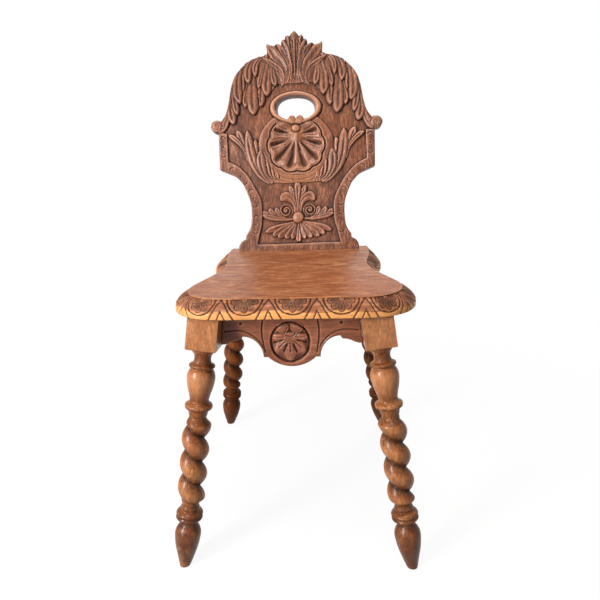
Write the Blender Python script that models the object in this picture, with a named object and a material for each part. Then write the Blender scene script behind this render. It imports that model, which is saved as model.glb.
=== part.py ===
# Carved wooden chair: four splayed, twisted legs, a moulded seat board and a carved board for a back.
# Metres, +Z up, and the sitter faces -Y. The origin is on the floor under the middle of the chair.
# A share is a plain ratio of the named size that it follows.

import math

import bmesh
import bpy
import numpy as np
from mathutils import Matrix
from mathutils import Vector
from mathutils.geometry import delaunay_2d_cdt

# Driving dimensions of the seat
seat_height = 0.465
seat_thickness = 0.029
seat_half_width = 0.197
seat_half_depth = 0.1975
moulding_width = 0.022
moulding_drop = 0.019
moulding_lip = 0.002
moulding_bulge = 0.0025
seat_front_shift = 0.0055
seat_shift_start_share = 0.25
seat_shift_end_share = -0.60

# Driving dimensions of the legs, measured at the seat's underside and along each leg's own axis
leg_setback_across = 0.063
leg_setback_front = 0.0375
leg_setback_rear = 0.0475
leg_splay_across = 0.061
leg_splay_front = 0.069
leg_splay_rear = 0.078
block_size = 0.050
block_length = 0.060
block_chamfer = 0.0012
turning_radius = 0.0235
twist_bottom_share = 0.296
twist_top_share = 0.700
twist_pitch = 0.0427
twist_groove_radius = 0.0130
twist_run_out = 0.014
leg_tenon_size = 0.024
leg_tenon_length = 0.012

# Driving dimensions of the back board, measured on its own leaning face; the level shares are of its
# rise and the others of its reach
board_lean_degrees = 12.15
board_setback = 0.0345
board_thickness = 0.027
board_reach = 0.1835
board_rise = 0.4555
ground_depth = 0.0055
border_drop = 0.0006
ear_radius_share = 0.0719
ear_level_share = 0.5873
ear_start_degrees = -105
ear_sweep_degrees = 233
strap_width_share = 0.0654
shoulder_rim_share = 0.0409
hole_half_width_share = 0.2322
hole_half_height_share = 0.1417
hole_level_share = 0.6621
hole_squareness = 0.90
hole_back_share = 0.93
ring_width_share = 0.0534
ring_height = 0.0020
volute_radius_share = 0.0447
volute_level_share = 0.6081
volute_height = 0.0030
shell_level_share = 0.4874
shell_radius_share = 0.3188
shell_hinge_level_share = 0.5335
shell_depth = 0.0065
flute_depth = 0.0016
dish_curve_share = 0.75
flute_start_share = 0.15
flute_end_share = 0.96
flute_reach_share = 1.3
flute_point_shares = (0.0, 0.5, 0.75, 1.0)
rim_width_share = 0.0327
band_radius_share = 0.4414
band_depth = 0.0022
bud_radius_share = 0.0425
bud_level_share = 0.5587
button_radius_share = 0.0627
button_level_share = 0.1559
curl_radius_share = 0.0763
curl_across_share = 0.1281
curl_level_share = 0.1866
leaf_height = 0.0070
crest_depth = 0.0030
tenon_across = 0.072
tenon_width = 0.042
tenon_thickness = 0.016
tenon_setback = 0.007
tenon_drop = 0.020
tenon_root = 0.012

# Driving dimensions of the frame under the seat
apron_thickness = 0.018
apron_setback = 0.025
apron_drop = 0.0956
lobe_half_width = 0.039
tip_half_width = 0.0466
tip_drop = 0.079
arch_drop = 0.0426
arch_end = 0.079
step_width = 0.0030
step_height = 0.0050
heel_drop = 0.056
rail_drop = 0.045
rail_inset = 0.003
side_rail_setback = 0.012
rail_tenon_thickness = 0.010
rail_tenon_length = 0.014
rail_tenon_shoulder = 0.006
glue_block_length = 0.042
glue_block_width = 0.018
glue_block_height = 0.030
glue_block_chamfer = 0.003
key_width = 0.012
key_height = 0.011
key_length = 0.034
key_taper_share = 0.80
screw_radius = 0.0022
screw_head_radius = 0.0042
screw_head_height = 0.0026
screw_length = 0.044
screw_shank_share = 0.80
nail_radius = 0.0011
nail_head_radius = 0.0023
nail_head_height = 0.0008
nail_length = 0.030
nail_shank_share = 0.90
point_share = 0.30
nail_across = 0.081
nail_from_screw = 0.010
nail_drop = 0.020

# Clearances and drawing sizes
seam = 0.0003
overrun = 0.004
facet_size = 0.0020
edge_margin = 0.0012
wall_run = 0.0007
smooth_degrees = 40

# Counts
turning_sides = 16
outline_steps = 3
hole_sides = 32
screw_sides = 12
ear_steps = 9
knob_steps = 10
flute_line_steps = 24
half_turn_steps = 20
band_line_steps = 17
hole_line_start = 3

# Worked-out sizes
seat_underside = seat_height - seat_thickness
leg_top_across = seat_half_width - leg_setback_across
leg_top_front = seat_half_depth - leg_setback_front
leg_top_rear = seat_half_depth - leg_setback_rear
board_front = seat_half_depth - board_setback
board_lean = math.radians(board_lean_degrees)
leg_axis_length = math.sqrt(leg_splay_across ** 2 + leg_splay_rear ** 2 + seat_underside ** 2)
turned_length = leg_axis_length - block_length
ear_radius = ear_radius_share * board_reach
strap_width = strap_width_share * board_reach
shoulder_rim = shoulder_rim_share * board_reach
hole_half_width = hole_half_width_share * board_reach
hole_half_height = hole_half_height_share * board_reach
ring_width = ring_width_share * board_reach
volute_radius = volute_radius_share * board_reach
shell_radius = shell_radius_share * board_reach
rim_width = rim_width_share * board_reach
band_radius = band_radius_share * board_reach
bud_radius = bud_radius_share * board_reach
button_radius = button_radius_share * board_reach
curl_radius = curl_radius_share * board_reach
curl_across = curl_across_share * board_reach
ear_level = ear_level_share * board_rise
hole_level = hole_level_share * board_rise
volute_level = volute_level_share * board_rise
shell_level = shell_level_share * board_rise
shell_hinge_level = shell_hinge_level_share * board_rise
bud_level = bud_level_share * board_rise
button_level = button_level_share * board_rise
curl_level = curl_level_share * board_rise

# The seat's edge from front centre to rear centre, as shares of half width and half depth,
# with the moulding's width there as a share of its full width
seat_edge_shares = (
    (0.000, -1.000, 0.77), (0.305, -1.000, 0.77), (0.569, -1.000, 0.77), (0.741, -0.972, 0.85),
    (0.878, -0.896, 0.95), (0.964, -0.780, 1.00), (1.000, -0.638, 1.00), (0.985, -0.496, 0.97),
    (0.934, -0.365, 0.90), (0.873, -0.233, 0.80), (0.822, -0.101, 0.75), (0.792, 0.030, 0.78),
    (0.787, 0.152, 0.85), (0.812, 0.278, 1.00), (0.848, 0.405, 1.10), (0.871, 0.547, 1.12),
    (0.868, 0.684, 1.00), (0.853, 0.810, 0.80), (0.828, 0.911, 0.60), (0.787, 0.967, 0.30),
    (0.761, 1.000, 0.18), (0.000, 1.000, 0.18),
)

# The turned profile: height as a share of the turned length, radius as a share of the turning radius
foot_profile_shares = (
    (0.000, 0.400), (0.046, 0.610), (0.098, 0.830), (0.152, 0.936), (0.180, 0.834), (0.204, 0.579),
    (0.216, 0.596), (0.227, 0.872), (0.235, 0.957), (0.244, 0.877), (0.253, 0.957), (0.263, 0.851),
    (0.271, 0.630), (0.281, 0.672),
)
vase_profile_shares = (
    (0.711, 0.647), (0.732, 0.749), (0.740, 0.936),
    (0.755, 0.953), (0.765, 0.740), (0.776, 0.668), (0.799, 0.740), (0.838, 0.911), (0.876, 0.983),
    (0.902, 0.877), (0.915, 0.736), (0.920, 0.872), (0.930, 0.877), (0.938, 0.655), (0.956, 0.570),
    (0.974, 0.621), (0.987, 0.766), (0.998, 0.783),
)
twist_neck_share = 0.595
coil_phase_shares = (0.0, 0.09, 0.25, 0.50, 0.75, 0.91)
coil_roundness_share = 0.85
coil_start_shares = {"front_left": 0.82, "front_right": 0.50, "rear_left": 0.50, "rear_right": 0.0}

# The board's outline on its right half, as shares of its reach across and its rise
foot_shares = ((0.714, 0.000), (0.714, 0.016), (0.703, 0.031), (0.676, 0.045), (0.627, 0.057))
sweep_shares = (
    (0.624, 0.074), (0.605, 0.083), (0.576, 0.103), (0.558, 0.125), (0.549, 0.158), (0.547, 0.189),
    (0.553, 0.223), (0.573, 0.252), (0.605, 0.285), (0.638, 0.314), (0.686, 0.338), (0.739, 0.357),
    (0.817, 0.371), (0.907, 0.386),
)
side_top_shares = (0.907, 0.554)
shoulder_shares = (
    (0.877, 0.611), (0.846, 0.622), (0.819, 0.640), (0.797, 0.663), (0.777, 0.692), (0.765, 0.724),
    (0.749, 0.757), (0.727, 0.784), (0.701, 0.808), (0.665, 0.828), (0.617, 0.850), (0.571, 0.866),
    (0.508, 0.881), (0.436, 0.892), (0.356, 0.898), (0.314, 0.906),
)
crest_shares = (
    (0.316, 0.922), (0.322, 0.940), (0.315, 0.949), (0.282, 0.941), (0.234, 0.941), (0.207, 0.948),
    (0.180, 0.947), (0.151, 0.940), (0.150, 0.953), (0.134, 0.966), (0.109, 0.967), (0.104, 0.977),
    (0.080, 0.985), (0.056, 0.980), (0.046, 0.986), (0.024, 0.996),
)
crest_tip_share = 1.0

# The inner edge of the raised border, from the foot to the ear
border_shares = (
    (0.493, 0.033), (0.471, 0.075), (0.441, 0.119), (0.428, 0.158), (0.425, 0.198), (0.439, 0.244),
    (0.490, 0.291), (0.567, 0.344), (0.659, 0.387), (0.749, 0.411), (0.809, 0.419), (0.809, 0.553),
)

# The shell's scalloped rim: angle from straight down as a share of a half turn, radius share
rim_shares = (
    (0.000, 0.875), (0.100, 0.970), (0.205, 0.935), (0.300, 1.030), (0.400, 0.975), (0.520, 1.030),
    (0.610, 0.985), (0.700, 1.035), (0.790, 1.020), (1.000, 1.000),
)
# The shell's flutes: angle about the hinge from straight down as a share of a half turn, flute count
flute_shares = (
    (0.000, 0.0), (0.095, 0.5), (0.167, 1.0), (0.239, 1.5), (0.333, 2.0), (0.425, 2.5),
    (0.511, 3.0), (0.600, 3.5), (0.683, 4.0), (1.000, 4.5),
)

# Leaves: root, bend and tip, each across and up, then width, as shares of the board's reach and rise
hanging_leaf_shares = (
    (0.371, 0.885, 0.458, 0.867, 0.452, 0.804, 0.065),
    (0.447, 0.880, 0.550, 0.845, 0.529, 0.776, 0.104),
    (0.567, 0.845, 0.610, 0.795, 0.597, 0.735, 0.071),
    (0.632, 0.823, 0.676, 0.757, 0.624, 0.688, 0.125),
    (0.229, 0.856, 0.256, 0.804, 0.218, 0.761, 0.071),
    (0.305, 0.867, 0.338, 0.795, 0.330, 0.718, 0.114),
    (0.480, 0.817, 0.501, 0.735, 0.477, 0.634, 0.131),
    (0.752, 0.724, 0.763, 0.659, 0.714, 0.596, 0.104),
    (0.360, 0.874, 0.403, 0.817, 0.417, 0.752, 0.054),
    (0.403, 0.790, 0.398, 0.735, 0.401, 0.670, 0.098),
    (0.550, 0.773, 0.572, 0.724, 0.575, 0.667, 0.054),
    (0.714, 0.757, 0.703, 0.698, 0.670, 0.637, 0.054),
)
crest_leaf_shares = (
    (0.343, 0.896, 0.163, 0.861, 0.142, 0.773, 0.044),
    (0.153, 0.777, 0.142, 0.861, 0.311, 0.945, 0.120),
    (0.093, 0.773, 0.093, 0.889, 0.202, 0.947, 0.109),
    (0.038, 0.795, 0.060, 0.911, 0.134, 0.965, 0.071),
    (0.016, 0.801, 0.027, 0.922, 0.079, 0.984, 0.065),
)
crest_stem_shares = (0.000, 0.795, 0.000, 0.900, 0.000, 0.998, 0.104)
spray_leaf_shares = (
    (0.338, 0.323, 0.534, 0.362, 0.556, 0.554, 0.093),
    (0.392, 0.347, 0.490, 0.417, 0.469, 0.513, 0.054),
    (0.300, 0.329, 0.425, 0.369, 0.406, 0.463, 0.093),
    (0.283, 0.329, 0.360, 0.351, 0.351, 0.412, 0.054),
    (0.251, 0.327, 0.305, 0.342, 0.302, 0.384, 0.049),
    (0.572, 0.450, 0.610, 0.516, 0.676, 0.562, 0.071),
    (0.589, 0.465, 0.654, 0.533, 0.774, 0.544, 0.049),
)
flower_leaf_shares = (
    (0.016, 0.189, 0.044, 0.259, 0.093, 0.296, 0.060),
    (0.033, 0.184, 0.065, 0.252, 0.185, 0.248, 0.076),
    (0.065, 0.154, 0.229, 0.132, 0.420, 0.175, 0.065),
    (0.163, 0.162, 0.251, 0.154, 0.327, 0.200, 0.054),
    (0.016, 0.132, 0.044, 0.088, 0.071, 0.054, 0.054),
    (0.027, 0.132, 0.093, 0.092, 0.147, 0.058, 0.054),
    (0.033, 0.134, 0.136, 0.099, 0.229, 0.065, 0.054),
    (0.044, 0.136, 0.174, 0.110, 0.300, 0.077, 0.054),
    (0.049, 0.138, 0.207, 0.116, 0.360, 0.089, 0.049),
)
flower_stem_shares = (
    (0.000, 0.184, 0.000, 0.252, 0.000, 0.312, 0.082),
    (0.000, 0.132, 0.000, 0.088, 0.000, 0.042, 0.060),
)
ear_strap_shares = (0.764, 0.708, 0.780, 0.575, 0.925, 0.566)
leaf_crown_shares = (0.06, 0.35, 0.62, 0.80, 0.92)
leaf_edge_stations = (0.10, 0.40, 0.65, 0.87)
leaf_edge_share = 1.08
leaf_root_share = 0.45
leaf_full_share = 0.62
leaf_least_share = 0.05
leaf_root_height_share = 0.55
knob_ring_shares = (0.60, 0.93, 1.10)

# Colours from the photograph, roughness and metallic value
finishes = {
    "board_oak": ((0.250, 0.108, 0.058), 0.55, 0.0),
    "seat_oak": ((0.300, 0.126, 0.056), 0.50, 0.0),
    "leg_oak": ((0.310, 0.125, 0.044), 0.45, 0.0),
    "frame_oak": ((0.190, 0.085, 0.045), 0.65, 0.0),
    "iron": ((0.060, 0.055, 0.050), 0.60, 1.0),
}


def clear_scene():
    for item in list(bpy.data.objects):
        bpy.data.objects.remove(item, do_unlink=True)


def make_materials():
    materials = {}
    for name, (colour, roughness, metallic) in finishes.items():
        material = bpy.data.materials.new(name)
        material.use_nodes = True
        shader = material.node_tree.nodes["Principled BSDF"]
        shader.inputs["Base Color"].default_value = (*colour, 1.0)
        shader.inputs["Roughness"].default_value = roughness
        shader.inputs["Metallic"].default_value = metallic
        materials[name] = material
    return materials


def add_piece(name, points, faces, material, location=(0, 0, 0), turn=None):
    mesh = bpy.data.meshes.new(name)
    mesh.from_pydata([tuple(point) for point in points], [], faces)
    piece = bpy.data.objects.new(name, mesh)
    bpy.context.scene.collection.objects.link(piece)
    piece.parent = chair
    piece.location = location
    if turn is not None:
        piece.rotation_euler = turn.to_euler()
    if material is not None:
        mesh.materials.append(material)
    return piece


def hide_tool(tool):
    tool.hide_render = True
    tool.display_type = "WIRE"


def box_mesh(low, high):
    points = [(x, y, z) for z in (low[2], high[2]) for y in (low[1], high[1]) for x in (low[0], high[0])]
    faces = [(0, 2, 3, 1), (4, 5, 7, 6), (0, 1, 5, 4), (2, 6, 7, 3), (0, 4, 6, 2), (1, 3, 7, 5)]
    return points, faces


def add_tool_box(name, low, high, location=(0, 0, 0), turn=None):
    points, faces = box_mesh(low, high)
    tool = add_piece(name, points, faces, None, location, turn)
    hide_tool(tool)
    return tool


def combine(piece, tool, operation):
    step = piece.modifiers.new(operation.lower() + "_" + tool.name, "BOOLEAN")
    step.operation = operation
    step.solver = "EXACT"
    step.object = tool


def grown(low, high, gap):
    return [value - gap for value in low], [value + gap for value in high]


def smooth_round_faces(piece):
    piece.data.shade_smooth()
    piece.data.set_sharp_from_angle(angle=math.radians(smooth_degrees))


def spline_points(points, steps):
    # Catmull-Rom curve through the points, as tuples with any number of values
    values = [np.array(point, dtype=float) for point in points]
    values = [2 * values[0] - values[1]] + values + [2 * values[-1] - values[-2]]
    curve = []
    for a, b, c, d in zip(values, values[1:], values[2:], values[3:]):
        for step in range(steps):
            t = step / steps
            curve.append(0.5 * (2 * b + (c - a) * t + (2 * a - 5 * b + 4 * c - d) * t ** 2
                                + (3 * b - a - 3 * c + d) * t ** 3))
    curve.append(values[-2])
    return curve


def ring_band(lower, upper, count):
    after = [(i + 1) % count for i in range(count)]
    return [(lower + i, lower + after[i], upper + after[i], upper + i) for i in range(count)]


def revolve(profile, sides):
    # Closed solid turned about Z from (radius, height) rows, with flat ends
    points = []
    for radius, height in profile:
        for i in range(sides):
            angle = math.tau * i / sides
            points.append((radius * math.cos(angle), radius * math.sin(angle), height))
    faces = []
    for row in range(len(profile) - 1):
        faces += ring_band(row * sides, (row + 1) * sides, sides)
    top = (len(profile) - 1) * sides
    faces.append(tuple(reversed(range(sides))))
    faces.append(tuple(range(top, top + sides)))
    return points, faces


def leg_places():
    places = {}
    for along_name, top_along, splay in (
        ("front", -leg_top_front, -leg_splay_front), ("rear", leg_top_rear, leg_splay_rear),
    ):
        for side_name, side in (("left", -1), ("right", 1)):
            top = Vector((side * leg_top_across, top_along, seat_underside))
            foot = Vector((side * (leg_top_across + leg_splay_across), top_along + splay, 0))
            axis = (top - foot).normalized()
            across = (Vector((1, 0, 0)) - axis * axis.x).normalized()
            turn = Matrix((across, axis.cross(across), axis)).transposed()
            places[along_name + "_" + side_name] = (foot, turn)
    return places


def coil_radius(phase, height):
    # Fat round coil between sharp grooves, run out to the plain neck at both ends of the twist
    bottom = twist_bottom_share * turned_length
    top = twist_top_share * turned_length
    neck = twist_neck_share * turning_radius
    swell = abs(math.sin(math.pi * phase)) ** coil_roundness_share
    coil = twist_groove_radius + (turning_radius - twist_groove_radius) * swell
    run = min(1.0, max(0.0, min(height - bottom, top - height) / twist_run_out))
    run = run * run * (3 - 2 * run)
    return neck + (coil - neck) * run


def add_twist(points, faces, bottom_ring, top_ring, start):
    # One left-handed start: rows of the mesh follow the coil's groove round the leg
    bottom = twist_bottom_share * turned_length
    top = twist_top_share * turned_length
    rows = len(coil_phase_shares)
    made = {}

    def corner(column, row):
        if column == turning_sides:
            return corner(0, row - rows)
        turns, phase_row = divmod(row, rows)
        phase = coil_phase_shares[phase_row]
        height = bottom + twist_pitch * (turns + phase + start - column / turning_sides)
        if height <= bottom + facet_size:
            return bottom_ring + column
        if height >= top - facet_size:
            return top_ring + column
        if (column, row) not in made:
            radius = coil_radius(phase, height)
            angle = math.tau * column / turning_sides
            made[(column, row)] = len(points)
            points.append((radius * math.cos(angle), radius * math.sin(angle), height))
        return made[(column, row)]

    last = rows * (math.ceil((top - bottom) / twist_pitch) + 2)
    for column in range(turning_sides):
        for row in range(-rows, last):
            quad = [corner(column, row), corner(column + 1, row),
                    corner(column + 1, row + 1), corner(column, row + 1)]
            face = [index for place, index in enumerate(quad) if index != quad[place - 1]]
            if len(set(face)) > 2:
                faces.append(tuple(face))


def square_ring(half, height):
    ring = []
    for i in range(turning_sides):
        angle = math.tau * i / turning_sides
        scale = half / max(abs(math.cos(angle)), abs(math.sin(angle)))
        ring.append((scale * math.cos(angle), scale * math.sin(angle), height))
    return ring


def round_ring(radius, height):
    angles = [math.tau * i / turning_sides for i in range(turning_sides)]
    return [(radius * math.cos(angle), radius * math.sin(angle), height) for angle in angles]


def leg_mesh(start):
    rings = [round_ring(foot_profile_shares[0][1] * turning_radius, -overrun)]
    for height, radius in foot_profile_shares:
        rings.append(round_ring(radius * turning_radius, height * turned_length))
    rings.append(round_ring(twist_neck_share * turning_radius, twist_bottom_share * turned_length))
    points = [point for ring in rings for point in ring]
    faces = [tuple(reversed(range(turning_sides)))]
    for row in range(len(rings) - 1):
        faces += ring_band(row * turning_sides, (row + 1) * turning_sides, turning_sides)
    bottom_ring = (len(rings) - 1) * turning_sides
    upper = [round_ring(twist_neck_share * turning_radius, twist_top_share * turned_length)]
    for height, radius in vase_profile_shares:
        upper.append(round_ring(radius * turning_radius, height * turned_length))
    half = block_size / 2
    upper.append(square_ring(half - block_chamfer, turned_length))
    upper.append(square_ring(half, turned_length + block_chamfer))
    upper.append(square_ring(half, leg_axis_length + half))
    top_ring = len(points)
    points += [point for ring in upper for point in ring]
    for row in range(len(upper) - 1):
        first = top_ring + row * turning_sides
        faces += ring_band(first, first + turning_sides, turning_sides)
    last = top_ring + (len(upper) - 1) * turning_sides
    faces.append(tuple(range(last, last + turning_sides)))
    add_twist(points, faces, bottom_ring, top_ring, start)
    return points, faces


def front_apron_outline():
    # Half outline of the lower edge, from the middle lobe out to the heel beside the leg block
    rise = apron_drop - tip_drop
    bow = (lobe_half_width ** 2 + rise ** 2) / (2 * rise)
    reach = math.asin(lobe_half_width / bow)
    half = []
    lobe_steps = 7
    for step in range(lobe_steps + 1):
        angle = reach * step / lobe_steps
        half.append((bow * math.sin(angle), apron_drop - bow * (1 - math.cos(angle))))
    half.append((tip_half_width, tip_drop))
    arch_steps = 8
    for step in range(1, arch_steps + 1):
        angle = math.pi / 2 * step / arch_steps
        across = tip_half_width + (arch_end - tip_half_width) * (1 - math.cos(angle))
        half.append((across, tip_drop - (tip_drop - arch_drop) * math.sin(angle)))
    half.append((arch_end + step_width, arch_drop + step_height))
    heel_rise = heel_drop - arch_drop - step_height
    heel_shares = ((0.30, 0.05), (0.52, 0.35), (0.76, 0.85), (1.00, 1.00))
    heel_run = leg_top_across - block_size / 2 - arch_end - step_width
    for across_share, drop_share in heel_shares:
        half.append((arch_end + step_width + heel_run * across_share,
                     arch_drop + step_height + heel_rise * drop_share))
    return half


def plank(outline, thickness, axis):
    # Prism of an outline of (along, drop) rows below the seat, thick along the other level axis
    count = len(outline)
    points = []
    for offset in (0, thickness):
        for along, drop in outline:
            points.append((along, offset, -drop) if axis == "x" else (offset, along, -drop))
    front = tuple(range(count))
    back = tuple(range(count, 2 * count))
    faces = [front, tuple(reversed(back))]
    faces += [((i + 1) % count, i, count + i, count + (i + 1) % count) for i in range(count)]
    return points, faces


def fix_normals(piece):
    bm = bmesh.new()
    bm.from_mesh(piece.data)
    bmesh.ops.recalc_face_normals(bm, faces=bm.faces)
    bm.to_mesh(piece.data)
    bm.free()


def rail_sizes():
    # For each rail: the axis that it runs along, where its near face is, and its depth at the ends
    side_rail_face = leg_top_across + block_size / 2 - side_rail_setback
    return {
        "front_apron": ("x", apron_setback - leg_top_front - block_size / 2, heel_drop),
        "rear_rail": ("x", leg_top_rear - block_size / 2 + rail_inset, rail_drop),
        "left_rail": ("y", -side_rail_face, rail_drop),
        "right_rail": ("y", side_rail_face - apron_thickness, rail_drop),
    }


def beyond_block(axis, way):
    # Box in a leg's own frame that starts just inside the block's inner face and covers all beyond it
    far = 2 * block_length
    face = block_size / 2 + seam
    low = [-far, -far, turned_length - block_length]
    high = [far, far, leg_axis_length + block_length]
    across = 0 if axis == "x" else 1
    if way < 0:
        high[across] = face
    else:
        low[across] = -face
    return low, high


def build_rails(places, materials, tenon_boxes):
    top_z = seat_underside - seam
    rails = {}
    for name, (axis, near, drop) in rail_sizes().items():
        if axis == "x":
            ends = (-leg_top_across, leg_top_across)
        else:
            ends = (-leg_top_front, leg_top_rear)
        if name == "front_apron":
            half = front_apron_outline() + [(leg_top_across, heel_drop), (leg_top_across, 0)]
            outline = [(-across, down) for across, down in reversed(half)]
            outline += [point for point in half if point[0] > 0]
        else:
            outline = [(ends[0], 0), (ends[0], drop), (ends[1], drop), (ends[1], 0)]
        points, faces = plank(outline, apron_thickness, axis)
        location = (0, near, top_z) if axis == "x" else (near, 0, top_z)
        finish = "leg_oak" if name == "front_apron" else "frame_oak"
        rail = add_piece(name, points, faces, materials[finish], location)
        fix_normals(rail)
        for place, (foot, turn) in places.items():
            for way in (-1, 1):
                if leg_carries(place, name, way):
                    low, high = beyond_block(axis, way)
                    tool = add_tool_box("shoulder_%s_%s" % (name, place), low, high, foot, turn)
                    combine(rail, tool, "DIFFERENCE")
        rails[name] = rail
        inset = (apron_thickness - rail_tenon_thickness) / 2
        for end, way in ((ends[0], -1), (ends[1], 1)):
            inner_face = end - way * block_size / 2
            root = inner_face - way * tenon_root
            tip = inner_face + way * rail_tenon_length
            along = (min(root, tip), max(root, tip))
            low_z = top_z - drop + rail_tenon_shoulder
            high_z = top_z - rail_tenon_shoulder
            if axis == "x":
                low = (along[0], near + inset, low_z)
                high = (along[1], near + apron_thickness - inset, high_z)
            else:
                low = (near + inset, along[0], low_z)
                high = (near + apron_thickness - inset, along[1], high_z)
            tenon = add_tool_box("tenon_%s_%s" % (name, "low" if way < 0 else "high"), low, high)
            combine(rail, tenon, "UNION")
            tenon_boxes.append((name, way, low, high))
    return rails


def build_legs(places, materials, tenon_boxes):
    reach = 2 * leg_axis_length
    floor_tool = add_tool_box("floor_cut", (-reach, -reach, -reach), (reach, reach, 0))
    seat_tool = add_tool_box("seat_cut", (-reach, -reach, seat_underside - seam), (reach, reach, reach))
    tenons = {}
    for place, (foot, turn) in places.items():
        points, faces = leg_mesh(coil_start_shares[place])
        leg = add_piece(place + "_leg", points, faces, materials["leg_oak"], foot, turn)
        fix_normals(leg)
        smooth_round_faces(leg)
        combine(leg, floor_tool, "DIFFERENCE")
        combine(leg, seat_tool, "DIFFERENCE")
        half = leg_tenon_size / 2
        low = (-half, -half, leg_axis_length - leg_tenon_length)
        high = (half, half, leg_axis_length + leg_tenon_length)
        combine(leg, add_tool_box("stub_" + place, low, high, foot, turn), "UNION")
        tenons[place] = (low, high, foot, turn)
        for name, way, box_low, box_high in tenon_boxes:
            if leg_carries(place, name, way):
                low_gap, high_gap = grown(box_low, box_high, seam)
                tool = add_tool_box("mortise_%s_%s" % (place, name), low_gap, high_gap)
                combine(leg, tool, "DIFFERENCE")
    return tenons


def leg_carries(place, rail, way):
    front = place.startswith("front")
    left = place.endswith("left")
    if rail == "front_apron":
        return front and left == (way < 0)
    if rail == "rear_rail":
        return not front and left == (way < 0)
    if rail == "left_rail":
        return left and front == (way < 0)
    return not left and front == (way < 0)


def seat_shift(along):
    # The wide front of the seat sits a little to the right of the legs
    start = seat_shift_start_share * seat_half_depth
    end = seat_shift_end_share * seat_half_depth
    share = min(1.0, max(0.0, (start - along) / (start - end)))
    return seat_front_shift * share * share * (3 - 2 * share)


def seat_rings():
    # The seat's outer edge and the edge of its flat top, as two matching closed loops
    half = spline_points(seat_edge_shares[:-1], outline_steps)
    rows = [row for place, row in enumerate(half) if place % 2 == 0 or row[1] > seat_edge_shares[2][1]]
    right = [(across * seat_half_width, along * seat_half_depth, width * moulding_width)
             for across, along, width in rows]
    left = [(-x, y, width) for x, y, width in reversed(right) if x > 0]
    outer = [(x + seat_shift(y), y, width) for x, y, width in right + left]
    flat = []
    for i, (x, y, width) in enumerate(outer):
        before = outer[i - 1]
        after = outer[(i + 1) % len(outer)]
        way = Vector((after[0] - before[0], after[1] - before[1])).normalized()
        flat.append((x - way.y * width, y + way.x * width))
    return [(x, y) for x, y, width in outer], flat


def split_flat_top(seat):
    # The flat top is two faces, one to sit on and one under the back board
    mesh = bmesh.new()
    mesh.from_mesh(seat.data)
    top = [face for face in mesh.faces if min(vert.co.z for vert in face.verts) > seat_height - seam]
    edges = {edge for face in top for edge in face.edges}
    verts = {vert for face in top for vert in face.verts}
    bmesh.ops.bisect_plane(mesh, geom=top + sorted(edges, key=lambda edge: edge.index)
                           + sorted(verts, key=lambda vert: vert.index),
                           plane_co=(0, board_front, 0), plane_no=(0, 1, 0))
    mesh.to_mesh(seat.data)
    mesh.free()


def build_seat(materials, tenons, board_tenons):
    outer, flat = seat_rings()
    middle = [((a[0] + b[0]) / 2, (a[1] + b[1]) / 2) for a, b in zip(outer, flat)]
    lip = seat_height - moulding_lip
    shoulder = seat_height - moulding_drop
    levels = (
        (outer, seat_underside),
        (outer, shoulder),
        (middle, (lip + shoulder) / 2 + moulding_bulge),
        (flat, lip),
        (flat, seat_height),
    )
    points = [(x, y, z) for ring, z in levels for x, y in ring]
    count = len(outer)
    faces = []
    for row in range(len(levels) - 1):
        faces += ring_band(row * count, (row + 1) * count, count)
    faces.append(tuple(reversed(range(count))))
    faces.append(tuple(range(len(points) - count, len(points))))
    seat = add_piece("seat_board", points, faces, materials["seat_oak"])
    split_flat_top(seat)
    fix_normals(seat)
    for place, (low, high, foot, turn) in tenons.items():
        low_gap, high_gap = grown(low, high, seam)
        combine(seat, add_tool_box("socket_" + place, low_gap, high_gap, foot, turn), "DIFFERENCE")
    for name, (low, high, location, turn) in board_tenons.items():
        low_gap, high_gap = grown(low, high, seam)
        combine(seat, add_tool_box("through_" + name, low_gap, high_gap, location, turn), "DIFFERENCE")
    return seat


def board_point(across_share, up_share):
    return across_share * board_reach, up_share * board_rise


def board_outline():
    right = [board_point(*share) for share in foot_shares]
    right += [tuple(point) for point in spline_points([board_point(*s) for s in sweep_shares], 2)]
    right.append(board_point(*side_top_shares))
    centre = (board_reach - ear_radius, ear_level)
    for step in range(ear_steps + 1):
        angle = math.radians(ear_start_degrees + ear_sweep_degrees * step / ear_steps)
        right.append((centre[0] + ear_radius * math.cos(angle),
                      centre[1] + ear_radius * math.sin(angle)))
    right += [tuple(point) for point in spline_points([board_point(*s) for s in shoulder_shares], 2)]
    right += [board_point(*share) for share in crest_shares]
    tip = [board_point(0, crest_tip_share)]
    left = [(-across, up) for across, up in reversed(right)]
    return right + tip + left


def hole_outline():
    # Upright oval, with the two volutes of the ring curling up into its lower edge
    points = []
    for step in range(hole_sides):
        angle = math.tau * step / hole_sides
        way_across = math.copysign(abs(math.cos(angle)) ** hole_squareness, math.cos(angle))
        way_up = math.copysign(abs(math.sin(angle)) ** hole_squareness, math.sin(angle))
        across = hole_half_width * way_across
        up = hole_level + hole_half_height * way_up
        if up < hole_level:
            near = volute_radius ** 2 - (abs(across) - volute_radius) ** 2
            if near > 0:
                up = max(up, volute_level + math.sqrt(near))
        points.append((across, up))
    return points


def leaf_lines(leaf):
    # Centre points, sideways directions and half widths of one leaf, along its curved midrib
    root = np.array(board_point(leaf[0], leaf[1]))
    bend = np.array(board_point(leaf[2], leaf[3]))
    tip = np.array(board_point(leaf[4], leaf[5]))
    half_width = leaf[6] * board_reach / 2
    steps = np.linspace(0.0, 1.0, 15)
    centre = [(1 - t) ** 2 * root + 2 * t * (1 - t) * bend + t ** 2 * tip for t in steps]
    slope = [2 * (1 - t) * (bend - root) + 2 * t * (tip - bend) for t in steps]
    side = [np.array((way[1], -way[0])) / np.hypot(*way) for way in slope]
    return steps, np.array(centre), np.array(side), half_width


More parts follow.
